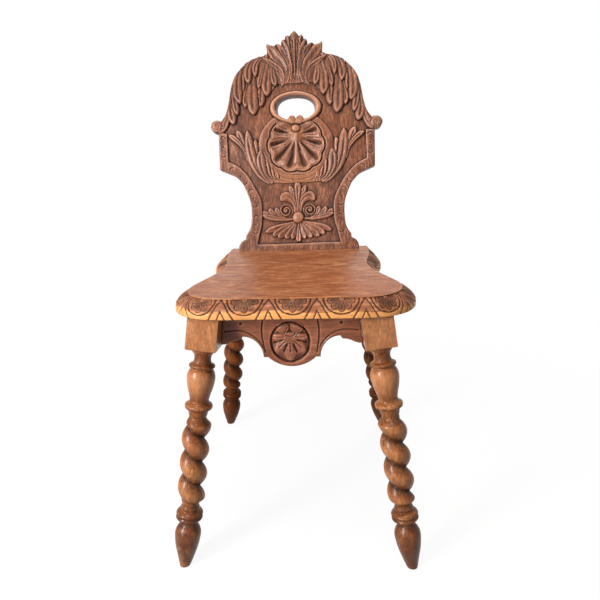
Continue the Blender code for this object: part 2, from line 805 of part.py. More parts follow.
def leaf_half_width(t):
    # Narrow at the root, full at leaf_full_share, round at the tip; 1 is the full half width
    t = np.asarray(t, dtype=float)
    opening = leaf_root_share + (1 - leaf_root_share) * np.minimum(t / leaf_full_share, 1.0)
    closing = np.clip((t - leaf_full_share) / (1 - leaf_full_share), 0.0, 1.0)
    return opening * np.sqrt(np.maximum(1 - closing ** 2, 0.0))


def leaf_relief(leaf, across, up, height):
    # Height over the ground at each point, zero outside the leaf
    steps, centre, side, half_width = leaf_lines(leaf)
    place = np.stack((across, up), axis=1)
    best = np.full(len(place), np.inf)
    best_t = np.zeros(len(place))
    for i in range(len(centre) - 1):
        run = centre[i + 1] - centre[i]
        t = np.clip(((place - centre[i]) @ run) / (run @ run), 0.0, 1.0)
        gap = np.hypot(*(place - centre[i] - t[:, None] * run).T)
        nearer = gap < best
        best = np.where(nearer, gap, best)
        best_t = np.where(nearer, steps[i] + t * (steps[i + 1] - steps[i]), best_t)
    width = np.maximum(leaf_half_width(best_t), leaf_least_share) * half_width
    spread = best / width
    crown = np.sqrt(np.maximum(1 - spread ** 2, 0.0))
    lift = leaf_root_height_share + (1 - leaf_root_height_share) * best_t
    return np.where(spread < 1, height * lift * crown, 0.0)


def dome(across, up, centre_across, centre_up, radius, height):
    gap = np.hypot(across - centre_across, up - centre_up) / radius
    return np.where(gap < 1, height * np.sqrt(np.maximum(1 - gap ** 2, 0.0)), 0.0)


def raised(height, base, lift):
    # The carving where it stands over its base, and what was there elsewhere
    return np.where(lift > 0, np.maximum(height, base + lift), height)


def all_leaves():
    return hanging_leaf_shares + spray_leaf_shares + flower_leaf_shares + flower_stem_shares


def crest_leaves():
    return crest_leaf_shares + (crest_stem_shares,)


def ear_strap():
    return ear_strap_shares + (strap_width / board_reach,)


def board_relief(across, up):
    # Height of the carved front over the border's face at points (across, up); the ground lies below it
    across = np.abs(np.asarray(across, dtype=float))
    up = np.asarray(up, dtype=float)
    ground = -ground_depth
    height = np.full(len(across), ground)
    border = np.array(border_line())
    inner = np.interp(up, border[:, 1], border[:, 0])
    framed = (across > inner) & (up <= border[-1, 1]) | (up < border[0, 1])
    height = np.where(framed, -border_drop, height)
    shoulder = np.array(spline_points([board_point(*s) for s in shoulder_shares], 2))
    rim_gap = nearest_gap(shoulder, across, up)
    height = np.where((rim_gap < shoulder_rim) & (up > border[-1, 1]), -border_drop, height)
    crest_root = board_point(*crest_leaf_shares[0][4:6])
    crest_corner = board_point(*crest_leaf_shares[0][0:2])
    slope = (crest_corner[0] - crest_root[0]) / (crest_corner[1] - crest_root[1])
    in_crest = (up > crest_root[1]) & (across < crest_root[0] + (up - crest_root[1]) * slope)
    height = np.where(in_crest, -crest_depth, height)
    round_gap = np.hypot(across, up - shell_level)
    height = np.where(round_gap < band_radius, np.maximum(height, -band_depth), height)
    height = shell_relief(across, up, height)
    for leaf in all_leaves():
        height = raised(height, ground, leaf_relief(leaf, across, up, leaf_height))
    for leaf in crest_leaves():
        height = raised(height, -crest_depth, leaf_relief(leaf, across, up, leaf_height - crest_depth))
    height = raised(height, -border_drop, leaf_relief(ear_strap(), across, up, ring_height))
    ear = dome(across, up, board_reach - ear_radius, ear_level, ear_radius, volute_height)
    height = raised(height, -border_drop, ear)
    oval = np.hypot(across / hole_half_width, (up - hole_level) / hole_half_height)
    mean_half = (hole_half_width + hole_half_height) / 2
    ring = np.abs((oval - 1) * mean_half - ring_width / 2) / (ring_width / 2)
    crown = ring_height - ring ** 2 * (ring_height + band_depth)
    height = np.where(ring < 1, np.maximum(height, crown), height)
    for centre_up, centre_across, radius, lift in (
        (volute_level, volute_radius, volute_radius, volute_height),
        (bud_level, 0, bud_radius, volute_height),
        (button_level, 0, button_radius, leaf_height + ring_height - ground_depth),
        (curl_level, curl_across, curl_radius, 0),
    ):
        knob = dome(across, up, centre_across, centre_up, radius, lift + ground_depth)
        height = raised(height, ground, knob)
    return height


def nearest_gap(line, across, up):
    place = np.stack((across, up), axis=1)
    best = np.full(len(place), np.inf)
    for start, end in zip(line, line[1:]):
        run = np.array(end) - np.array(start)
        t = np.clip(((place - start) @ run) / (run @ run), 0.0, 1.0)
        best = np.minimum(best, np.hypot(*(place - start - t[:, None] * run).T))
    return best


def shell_rim(angle_share):
    rows = np.array(rim_shares)
    return np.interp(angle_share, rows[:, 0], rows[:, 1]) * shell_radius


def shell_relief(across, up, height):
    # A hollow dish with flutes that spread from the hinge, inside a raised scalloped rim
    around = np.arctan2(across, shell_level - up) / math.pi
    gap = np.hypot(across, up - shell_level)
    rim = shell_rim(around)
    rows = np.array(flute_shares)
    hinge = np.arctan2(across, shell_hinge_level - up) / math.pi
    from_hinge = np.hypot(across, up - shell_hinge_level)
    flute = np.cos(math.tau * np.interp(hinge, rows[:, 0], rows[:, 1]))
    depth = gap / (rim - rim_width / 2)
    reach = np.clip(from_hinge / shell_radius, 0.0, 1.0)
    dish = -band_depth - shell_depth * np.sin(math.pi * dish_curve_share * reach)
    dish = dish + flute_depth * flute * np.clip(reach * 2, 0, 1)
    height = np.where(depth < 1, dish, height)
    rise = np.abs(gap - rim) / (rim_width / 2)
    return np.where(rise < 1, np.maximum(height, -border_drop - rise ** 2 * band_depth), height)


def offset_line(line, gap):
    # The line moved to its left by the gap
    moved = []
    last = len(line) - 1
    for i, place in enumerate(line):
        way = np.array(line[min(i + 1, last)]) - np.array(line[max(i - 1, 0)])
        way = way / np.hypot(*way)
        moved.append(np.array(place) + gap * np.array((-way[1], way[0])))
    return moved


def border_line():
    border = [np.array(board_point(*share)) for share in border_shares]
    return spline_points(border[:-2], 2) + border[-2:]


def shoulder_line():
    shoulder = spline_points([board_point(*share) for share in shoulder_shares], 1)
    return offset_line(shoulder, shoulder_rim)


def around(across, up, radius, turns, start=0.0, flat=1.0):
    # Points on an upright oval, from straight down by shares of a full turn
    return [np.array((across + radius * math.sin(math.tau * (turn + start)),
                      up - flat * radius * math.cos(math.tau * (turn + start)))) for turn in turns]


def carving_lines():
    # Lines along which the relief turns sharply: both sides of each step, and the crests
    lines = []
    for line in (border_line(), shoulder_line(), [(0, board_point(*border_shares[0])[1]),
                                                  board_point(*border_shares[0])]):
        lines += [offset_line(line, wall_run), offset_line(line, -wall_run)]
    half_turn = np.arange(half_turn_steps + 1) / half_turn_steps / 2
    for gap in (rim_width / 2, 0, -rim_width / 2):
        lines.append([around(0, shell_level, float(shell_rim(2 * turn)) + gap, [turn])[0]
                      for turn in half_turn[:-1]])
    for gap in (wall_run, -wall_run):
        lines.append(around(0, shell_level, band_radius + gap, half_turn[:band_line_steps]))
    for share, flute in flute_shares[:-1]:
        lines.append(flute_line(share))
    mean_half = (hole_half_width + hole_half_height) / 2
    for gap in (ring_width / 2, ring_width + wall_run):
        scale = 1 + gap / mean_half
        lines.append(around(0, hole_level, hole_half_width * scale, half_turn[hole_line_start:], 0,
                            hole_half_height / hole_half_width))
    for leaf in all_leaves() + crest_leaves() + (ear_strap(),):
        lines.append(leaf_places(leaf, leaf_crown_shares, 0.0))
    return lines


def flute_line(share):
    # Along a flute from near the hinge to just inside the rim
    line = []
    for reach in np.linspace(flute_start_share, flute_reach_share, flute_line_steps):
        place = around(0, shell_hinge_level, reach * shell_radius, [share / 2])[0]
        turn = math.atan2(place[0], shell_level - place[1]) / math.pi
        inner_rim = float(shell_rim(turn)) - rim_width / 2
        if math.hypot(place[0], place[1] - shell_level) > flute_end_share * inner_rim:
            break
        line.append(place)
    return [line[round(share * (len(line) - 1))] for share in flute_point_shares]


def leaf_places(leaf, stations, line):
    # Points on a leaf at shares of its length, and a share of its half width from its midrib
    steps, centre, side, half_width = leaf_lines(leaf)
    places = []
    for station in stations:
        place = np.array([np.interp(station, steps, centre[:, axis]) for axis in (0, 1)])
        way = np.array([np.interp(station, steps, side[:, axis]) for axis in (0, 1)])
        places.append(place + way * line * half_width * float(leaf_half_width(station)))
    return places


def carving_points():
    # Loose points at the feet of the leaves, curls and buds
    points = []
    for leaf in all_leaves() + crest_leaves() + (ear_strap(),):
        for line in (-leaf_edge_share, leaf_edge_share):
            points += leaf_places(leaf, leaf_edge_stations, line)
        points += leaf_places(leaf, [1.0], 0.0)
    for centre_up, centre_across, radius in (
        (volute_level, volute_radius, volute_radius), (bud_level, 0, bud_radius),
        (button_level, 0, button_radius), (curl_level, curl_across, curl_radius),
        (ear_level, board_reach - ear_radius, ear_radius),
    ):
        points.append((centre_across, centre_up))
        for share in knob_ring_shares:
            turns = np.arange(knob_steps) / knob_steps
            points += around(centre_across, centre_up, share * radius, turns, share)
    return points


def inside_loop(loop, across, up):
    inside = np.zeros(len(across), dtype=bool)
    for (ax, ay), (bx, by) in zip(loop, loop[1:] + loop[:1]):
        crosses = (ay > up) != (by > up)
        if ay != by:
            inside ^= crosses & (across < (bx - ax) * (up - ay) / (by - ay) + ax)
    return inside


def spaced_points(points, lines, loops):
    # Thin out points closer than a facet to each other, to a line or to the board's edge
    outline, hole = loops
    array = np.array([(abs(float(x)), float(y)) for x, y in points])
    edge = nearest_gap(outline + outline[:1], array[:, 0], array[:, 1])
    edge = np.minimum(edge, nearest_gap(hole + hole[:1], array[:, 0], array[:, 1]))
    good = inside_loop(outline, array[:, 0], array[:, 1]) & ~inside_loop(hole, array[:, 0], array[:, 1])
    good &= edge > edge_margin
    for line in lines:
        good &= nearest_gap(line, array[:, 0], array[:, 1]) > edge_margin
    kept = []
    for x, y in array[good]:
        x = 0.0 if x < facet_size / 2 else x
        if all(math.hypot(x - a, y - b) >= facet_size for a, b in kept):
            kept.append((x, y))
    return kept


def inner_runs(lines, loops):
    # The stretches of the lines that lie on the board, clear of its edge
    outline, hole = loops
    runs = []
    for line in lines:
        array = np.array(line)
        edge = nearest_gap(outline + outline[:1], array[:, 0], array[:, 1])
        edge = np.minimum(edge, nearest_gap(hole + hole[:1], array[:, 0], array[:, 1]))
        good = inside_loop(outline, array[:, 0], array[:, 1]) & (edge > edge_margin)
        good &= ~inside_loop(hole, array[:, 0], array[:, 1])
        run = []
        for place, use in zip(array, good):
            if use:
                run.append(place)
            elif run:
                runs.append(run)
                run = []
        if run:
            runs.append(run)
    return runs


def mirrored(rows):
    return rows + [[(-x, y) for x, y in row] for row in rows if any(x > 0 for x, y in row)]


def triangulate(points, lines, loops):
    # Flat triangles over the points and lines, inside the first loop and outside the second
    places = []
    edges = []
    for loop in loops:
        start = len(places)
        edges += [(start + i, start + (i + 1) % len(loop)) for i in range(len(loop))]
        places += loop
    for line in lines:
        start = len(places)
        edges += [(start + i, start + i + 1) for i in range(len(line) - 1)]
        places += list(line)
    places += points
    result = delaunay_2d_cdt([Vector(place) for place in places], edges, [], 0, seam / 2)
    places = np.array([tuple(vector) for vector in result[0]])
    faces = np.array([tuple(face) for face in result[2]])
    middle = places[faces].mean(axis=1)
    good = inside_loop(loops[0], middle[:, 0], middle[:, 1])
    good &= ~inside_loop(loops[1], middle[:, 0], middle[:, 1])
    return places, faces[good]


def board_mesh():
    # Carved front, flat back, and walls between them round the outline and the hand hole
    outline = board_outline()
    hole = hole_outline()
    lines = inner_runs(carving_lines(), (outline, hole))
    inner = spaced_points(carving_points(), lines, (outline, hole))
    inner += [(-x, y) for x, y in inner if x > 0]
    places, faces = triangulate(inner, mirrored(lines), (outline, hole))
    relief = board_relief(places[:, 0], places[:, 1])
    back_hole = [(x * hole_back_share, hole_level + (y - hole_level) * hole_back_share) for x, y in hole]
    back_places, back_faces = triangulate([], [], (outline, back_hole))
    count = len(places)
    points = [(x, -height, y) for (x, y), height in zip(places, relief)]
    points += [(x, board_thickness, y) for x, y in back_places]
    solid = [tuple(int(i) for i in face) for face in faces]
    solid += [tuple(int(i) + count for i in reversed(face)) for face in back_faces]
    start = 0
    for loop in (outline, hole):
        size = len(loop)
        for i in range(size):
            a = start + i
            b = start + (i + 1) % size
            solid.append((b, a, count + a, count + b))
        start += size
    lean_slope = math.tan(board_lean)
    lift = seam / math.cos(board_lean)
    low = facet_size / 2
    points = [(x, y, y * lean_slope + lift if z < low else z) for x, y, z in points]
    return points, solid


def board_place():
    location = Vector((0, board_front, seat_height))
    return location, Matrix.Rotation(-board_lean, 3, "X")


def board_tenon_boxes():
    location, turn = board_place()
    bottom = -(seat_thickness + tenon_drop) / math.cos(board_lean)
    boxes = {}
    for name, side in (("left", -1), ("right", 1)):
        middle = side * tenon_across
        low = (middle - tenon_width / 2, tenon_setback, bottom)
        high = (middle + tenon_width / 2, tenon_setback + tenon_thickness, tenon_root)
        boxes[name] = (low, high, location, turn)
    return boxes


def build_board(materials, boxes):
    points, faces = board_mesh()
    location, turn = board_place()
    board = add_piece("back_board", points, faces, materials["board_oak"], location, turn)
    fix_normals(board)
    for name, (low, high, place, tool_turn) in boxes.items():
        combine(board, add_tool_box("board_tenon_" + name, low, high, place, tool_turn), "UNION")
    return board


def build_keys(materials, board):
    # A tapered key through each tenon draws the board down on the seat
    top = seat_underside - seam
    middle_drop = key_height / 2
    centre_y = board_front - (seat_thickness + middle_drop) * math.tan(board_lean) \
        + (tenon_setback + tenon_thickness / 2) / math.cos(board_lean)
    for name, side in (("left", -1), ("right", 1)):
        half = key_length / 2
        points = []
        for end, share in ((-half, key_taper_share), (half, 1.0)):
            width = key_width / 2 * share
            low = -key_height * share
            points += [(-width, end, low), (width, end, low), (width, end, 0), (-width, end, 0)]
        faces = [(0, 1, 2, 3), (7, 6, 5, 4), (1, 0, 4, 5), (2, 1, 5, 6), (3, 2, 6, 7), (0, 3, 7, 4)]
        location = (side * tenon_across, centre_y, top)
        key = add_piece("back_key_" + name, points, faces, materials["frame_oak"], location)
        fix_normals(key)
        slot = []
        for x, y, z in points:
            slot.append((x + math.copysign(seam, x), y, z + seam if z == 0 else z - seam))
        tool = add_piece("slot_" + name, slot, faces, None, location)
        hide_tool(tool)
        fix_normals(tool)
        combine(board, tool, "DIFFERENCE")


def glue_block_places():
    # Name, centre of the block and its long axis, each block against the inner face of a rail
    sizes = rail_sizes()
    half = glue_block_width / 2 + seam
    front = sizes["front_apron"][1] + apron_thickness + half
    rear = sizes["rear_rail"][1] - half
    left = sizes["left_rail"][1] + apron_thickness + half
    right = sizes["right_rail"][1] - half
    return (
        ("front_left", nail_from_screw - nail_across, front, "x"),
        ("front_right", nail_across - nail_from_screw, front, "x"),
        ("rear_left", -tenon_across, rear, "x"), ("rear_right", tenon_across, rear, "x"),
        ("side_left", left, 0, "y"), ("side_right", right, 0, "y"),
    )


def build_glue_blocks(materials, seat):
    top = seat_underside - seam
    for name, x, y, axis in glue_block_places():
        half_x = (glue_block_length if axis == "x" else glue_block_width) / 2
        half_y = (glue_block_width if axis == "x" else glue_block_length) / 2
        points, faces = box_mesh((-half_x, -half_y, -glue_block_height), (half_x, half_y, 0))
        block = add_piece("glue_block_" + name, points, faces, materials["frame_oak"], (x, y, top))
        bevel = block.modifiers.new("eased_edges", "BEVEL")
        bevel.width = glue_block_chamfer
        bevel.segments = 1
        head = [
            (screw_head_radius, -screw_head_height), (screw_radius, 0),
            (screw_radius, screw_length * screw_shank_share), (screw_radius * point_share, screw_length),
        ]
        sink = glue_block_height - screw_head_height
        profile = [(radius, height - sink) for radius, height in head]
        points, faces = revolve(profile, screw_sides)
        screw = add_piece("seat_screw_" + name, points, faces, materials["iron"], (x, y, top))
        smooth_round_faces(screw)
        hole_profile = [(screw_head_radius + seam, -screw_head_height - sink - overrun),
                        (screw_head_radius + seam, -screw_head_height - sink),
                        (screw_radius + seam, seam - sink),
                        (screw_radius + seam, screw_length + seam - sink)]
        points, faces = revolve(hole_profile, screw_sides)
        tool = add_piece("pilot_" + name, points, faces, None, (x, y, top))
        hide_tool(tool)
        combine(block, tool, "DIFFERENCE")
        combine(seat, tool, "DIFFERENCE")


def build_nails(materials, apron):
    # Two nails hold the front apron to the glue blocks behind it
    face = rail_sizes()["front_apron"][1]
    turn = Matrix.Rotation(-math.pi / 2, 3, "X")
    for name, side in (("left", -1), ("right", 1)):
        location = (side * nail_across, face, seat_underside - nail_drop)
        profile = [
            (nail_head_radius, 0), (nail_head_radius, nail_head_height), (nail_radius, nail_head_height),
            (nail_radius, nail_length * nail_shank_share), (nail_radius * point_share, nail_length),
        ]
        points, faces = revolve(profile, screw_sides)
        nail = add_piece("apron_nail_" + name, points, faces, materials["iron"], location, turn)
        smooth_round_faces(nail)
        hole_profile = [
            (nail_head_radius + seam, -overrun), (nail_head_radius + seam, nail_head_height + seam),
            (nail_radius + seam, nail_head_height + seam), (nail_radius + seam, nail_length + seam),
        ]
        points, faces = revolve(hole_profile, screw_sides)
        tool = add_piece("nail_hole_" + name, points, faces, None, location, turn)
        hide_tool(tool)
        combine(apron, tool, "DIFFERENCE")
        block = bpy.data.objects["glue_block_front_" + name]
        combine(block, tool, "DIFFERENCE")


def centre_on_floor():
    # Move the whole chair so that the middle of its reach from front to back is at Y zero
    bpy.context.view_layer.update()
    graph = bpy.context.evaluated_depsgraph_get()
    along = []
    for piece in bpy.data.objects:
        if piece.type == "MESH" and not piece.hide_render:
            shape = piece.evaluated_get(graph)
            along += [(shape.matrix_world @ corner.co).y for corner in shape.data.vertices]
    chair.location.y = -(min(along) + max(along)) / 2
    bpy.context.view_layer.update()


clear_scene()
chair = bpy.data.objects.new("chair", None)
bpy.context.scene.collection.objects.link(chair)
oak = make_materials()
leg_spots = leg_places()
rail_tenons = []
rail_pieces = build_rails(leg_spots, oak, rail_tenons)
leg_tenons = build_legs(leg_spots, oak, rail_tenons)
tenon_boxes_of_board = board_tenon_boxes()
seat_piece = build_seat(oak, leg_tenons, tenon_boxes_of_board)
board_piece = build_board(oak, tenon_boxes_of_board)
build_keys(oak, board_piece)
build_glue_blocks(oak, seat_piece)
build_nails(oak, rail_pieces["front_apron"])
centre_on_floor()
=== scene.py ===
import math
from functools import partial

import bmesh
import bpy
import numpy as np
from mathutils import Matrix, Vector
from mathutils.geometry import delaunay_2d_cdt
from mathutils.kdtree import KDTree


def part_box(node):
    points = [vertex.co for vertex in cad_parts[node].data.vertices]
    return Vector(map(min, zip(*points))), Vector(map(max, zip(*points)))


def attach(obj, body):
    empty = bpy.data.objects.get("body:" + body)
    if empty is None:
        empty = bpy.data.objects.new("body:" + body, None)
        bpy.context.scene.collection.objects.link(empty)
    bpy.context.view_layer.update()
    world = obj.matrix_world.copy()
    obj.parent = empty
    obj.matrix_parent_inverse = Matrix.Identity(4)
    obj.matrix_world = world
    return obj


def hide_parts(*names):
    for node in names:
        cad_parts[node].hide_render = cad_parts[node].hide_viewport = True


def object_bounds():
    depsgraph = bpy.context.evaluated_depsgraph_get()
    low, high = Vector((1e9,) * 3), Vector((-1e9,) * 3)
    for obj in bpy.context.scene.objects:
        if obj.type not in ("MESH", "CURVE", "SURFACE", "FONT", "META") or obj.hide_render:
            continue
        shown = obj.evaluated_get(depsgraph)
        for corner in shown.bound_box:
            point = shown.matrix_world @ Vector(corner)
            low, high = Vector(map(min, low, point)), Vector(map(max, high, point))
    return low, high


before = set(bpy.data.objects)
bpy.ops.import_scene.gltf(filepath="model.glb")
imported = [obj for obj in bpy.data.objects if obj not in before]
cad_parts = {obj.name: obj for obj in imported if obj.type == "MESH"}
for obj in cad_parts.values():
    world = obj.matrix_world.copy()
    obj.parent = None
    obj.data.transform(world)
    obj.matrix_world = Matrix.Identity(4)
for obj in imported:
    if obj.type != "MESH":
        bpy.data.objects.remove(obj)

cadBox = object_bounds()
print("frame loaded:", len(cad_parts), "nodes")

mm = 0.001
seam = 0.0003  # left between neighbouring pieces
drawnHalfDepth = 0.1975  # half of the seat's depth as it is drawn below
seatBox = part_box("seat_board")
seatTop = seatBox[1][2]
seatUnder = seatBox[0][2]
seatRear = seatBox[1][1]
seatShift = seatRear - drawnHalfDepth
boxLow, boxHigh = (np.array(corner) for corner in cadBox)


# Small helpers

def smooth(low, high, value):
    # Soft step from 0 at low to 1 at high, which may lie below low
    t = np.clip((value - low) / (high - low), 0, 1)
    return t * t * (3 - 2 * t)


def curveThrough(points, steps):
    # Catmull-Rom curve through given points
    rows = [np.array(point, dtype=float) for point in points]
    rows = [2 * rows[0] - rows[1]] + rows + [2 * rows[-1] - rows[-2]]
    out = []
    for a, b, c, d in zip(rows, rows[1:], rows[2:], rows[3:]):
        for t in np.arange(steps) / steps:
            out.append(0.5 * (2 * b + (c - a) * t + (2 * a - 5 * b + 4 * c - d) * t ** 2
                              + (3 * b - a - 3 * c + d) * t ** 3))
    return [tuple(row.tolist()) for row in out + [rows[-2]]]


def evenSteps(line, step):
    # The same line with points a step apart, its corners kept
    out = []
    for a, b in zip(line, line[1:]):
        count = max(1, int(round(math.dist(a, b) / step)))
        start = np.array(a)
        out += [tuple((start + (np.array(b) - start) * i / count).tolist()) for i in range(count)]
    return out + [tuple(map(float, line[-1]))]


def toStretch(a, b, u, v):
    # How far along the stretch from a to b the nearest place lies, and how far away it is
    dx = b[0] - a[0]
    dy = b[1] - a[1]
    t = np.clip(((u - a[0]) * dx + (v - a[1]) * dy) / (dx * dx + dy * dy), 0, 1)
    return t, np.hypot(u - a[0] - t * dx, v - a[1] - t * dy)


def gapTo(line, u, v):
    # Distance from each point to a line of points
    best = np.full(u.shape, np.inf)
    for a, b in zip(line, line[1:]):
        best = np.minimum(best, toStretch(a, b, u, v)[1])
    return best


def nearLine(line, reach, u, v):
    # Which points lie in the box round a line
    low = np.min(line, axis=0) - reach
    high = np.max(line, axis=0) + reach
    return (u > low[0]) & (u < high[0]) & (v > low[1]) & (v < high[1])


def insideOf(loop, u, v):
    inside = np.zeros(u.shape, dtype=bool)
    for (ax, ay), (bx, by) in zip(loop, loop[1:] + loop[:1]):
        if ay != by:
            inside ^= ((ay > v) != (by > v)) & (u < (bx - ax) * (v - ay) / (by - ay) + ax)
    return inside


def insideAll(loops, u, v):
    # Inside the first loop and outside its holes
    inside = insideOf(loops[0], u, v)
    for hole in loops[1:]:
        inside &= ~insideOf(hole, u, v)
    return inside


def ringEdges(start, count):
    return [(start + i, start + (i + 1) % count) for i in range(count)]


def fillFlat(points, edges, loops, least):
    # Triangles over the points, with each new point's sources, the middles and which faces lie inside
    result = delaunay_2d_cdt([Vector(point) for point in points], edges, [], 0, least)
    middles = np.array([np.mean([result[0][i] for i in face], axis=0) for face in result[2]]).T
    return result[0], result[3], result[2], middles, insideAll(loops, *middles)


def wander(u, v, size, seed):
    # Soft waves that never repeat in the same way, between about -1 and 1
    out = np.zeros(np.shape(u))
    for i in range(5):
        angle = seed * 2.1 + i * 1.9
        rate = (1 + 0.45 * i) / size
        out = out + np.sin((u * math.cos(angle) + v * math.sin(angle)) * rate + seed * 3.7 + i * 2.3) / 2.6
    return out


def blurred(field, cells):
    # Box blur of a grid, repeated so that it is close to a round one
    for turn in range(3):
        for axis in (0, 1):
            padded = np.pad(field, [(cells, cells) if a == axis else (0, 0) for a in (0, 1)], mode="edge")
            total = np.cumsum(np.insert(padded, 0, 0, axis=axis), axis=axis)
            size = 2 * cells + 1
            top = np.take(total, range(size, total.shape[axis]), axis=axis)
            low = np.take(total, range(0, total.shape[axis] - size), axis=axis)
            field = (top - low) / size
    return field


def placed(name, data):
    item = bpy.data.objects.new(name, data)
    bpy.context.scene.collection.objects.link(item)
    return item


def closeMesh(mesh):
    # Doubles are merged first, then the faces are turned outwards
    bm = bmesh.new()
    bm.from_mesh(mesh)
    bmesh.ops.remove_doubles(bm, verts=bm.verts, dist=0.00001)
    bmesh.ops.recalc_face_normals(bm, faces=bm.faces)
    bm.to_mesh(mesh)
    bm.free()
    mesh.shade_smooth()


def markPoints(mesh, marks):
    for mark, values in marks.items():
        layer = mesh.attributes.new(mark, "FLOAT", "POINT")
        layer.data.foreach_set("value", np.asarray(values, dtype=np.float32))


def makeMesh(name, points, faces, material, marks):
    mesh = bpy.data.meshes.new(name)
    mesh.from_pydata(np.clip(np.array(points, dtype=float), boxLow, boxHigh).tolist(), [], faces)
    markPoints(mesh, marks)
    piece = placed(name, mesh)
    mesh.materials.append(material)
    closeMesh(mesh)
    return piece


def standFor(piece, slot, *nodes):
    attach(piece, "root")
    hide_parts(*nodes)


# Materials

def feed(tree, node, inputs):
    for key, value in inputs.items():
        if isinstance(value, bpy.types.NodeSocket):
            tree.links.new(value, node.inputs[key])
        else:
            node.inputs[key].default_value = value


def addNode(tree, kind, inputs=None, **settings):
    node = tree.nodes.new(kind)
    for key, value in settings.items():
        setattr(node, key, value)
    feed(tree, node, inputs or {})
    return node


def mathNode(tree, operation, a, b=0.0, clamp=False):
    node = addNode(tree, "ShaderNodeMath", {0: a, 1: b}, operation=operation, use_clamp=clamp)
    return node.outputs[0]


def mixColour(tree, share, a, b):
    return addNode(tree, "ShaderNodeMix", {0: share, 6: a, 7: b}, data_type="RGBA").outputs[2]


def rampOf(tree, value, stops):
    node = addNode(tree, "ShaderNodeValToRGB", {0: value})
    ramp = node.color_ramp
    while len(ramp.elements) < len(stops):
        ramp.elements.new(0.5)
    for element, (place, colour) in zip(ramp.elements, stops):
        element.position = place
        element.color = colour
    return node.outputs[0]


def grey(value):
    return (value, value, value, 1)


def maskOf(tree, value, low, high, atLow=0, atHigh=1):
    # A grey step between two levels of the value
    return rampOf(tree, value, ((low, grey(atLow)), (high, grey(atHigh))))


def linear(colour):
    # A colour read from the photograph, from 0 to 255, as the shader wants it
    out = []
    for part in colour:
        c = part / 255
        out.append(c / 12.92 if c <= 0.04045 else ((c + 0.055) / 1.055) ** 2.4)
    return (*out, 1)


def newMaterial(name):
    material = bpy.data.materials.new(name)
    material.use_nodes = True
    tree = material.node_tree
    coords = addNode(tree, "ShaderNodeTexCoord").outputs["Object"]
    return material, tree, tree.nodes["Principled BSDF"], coords


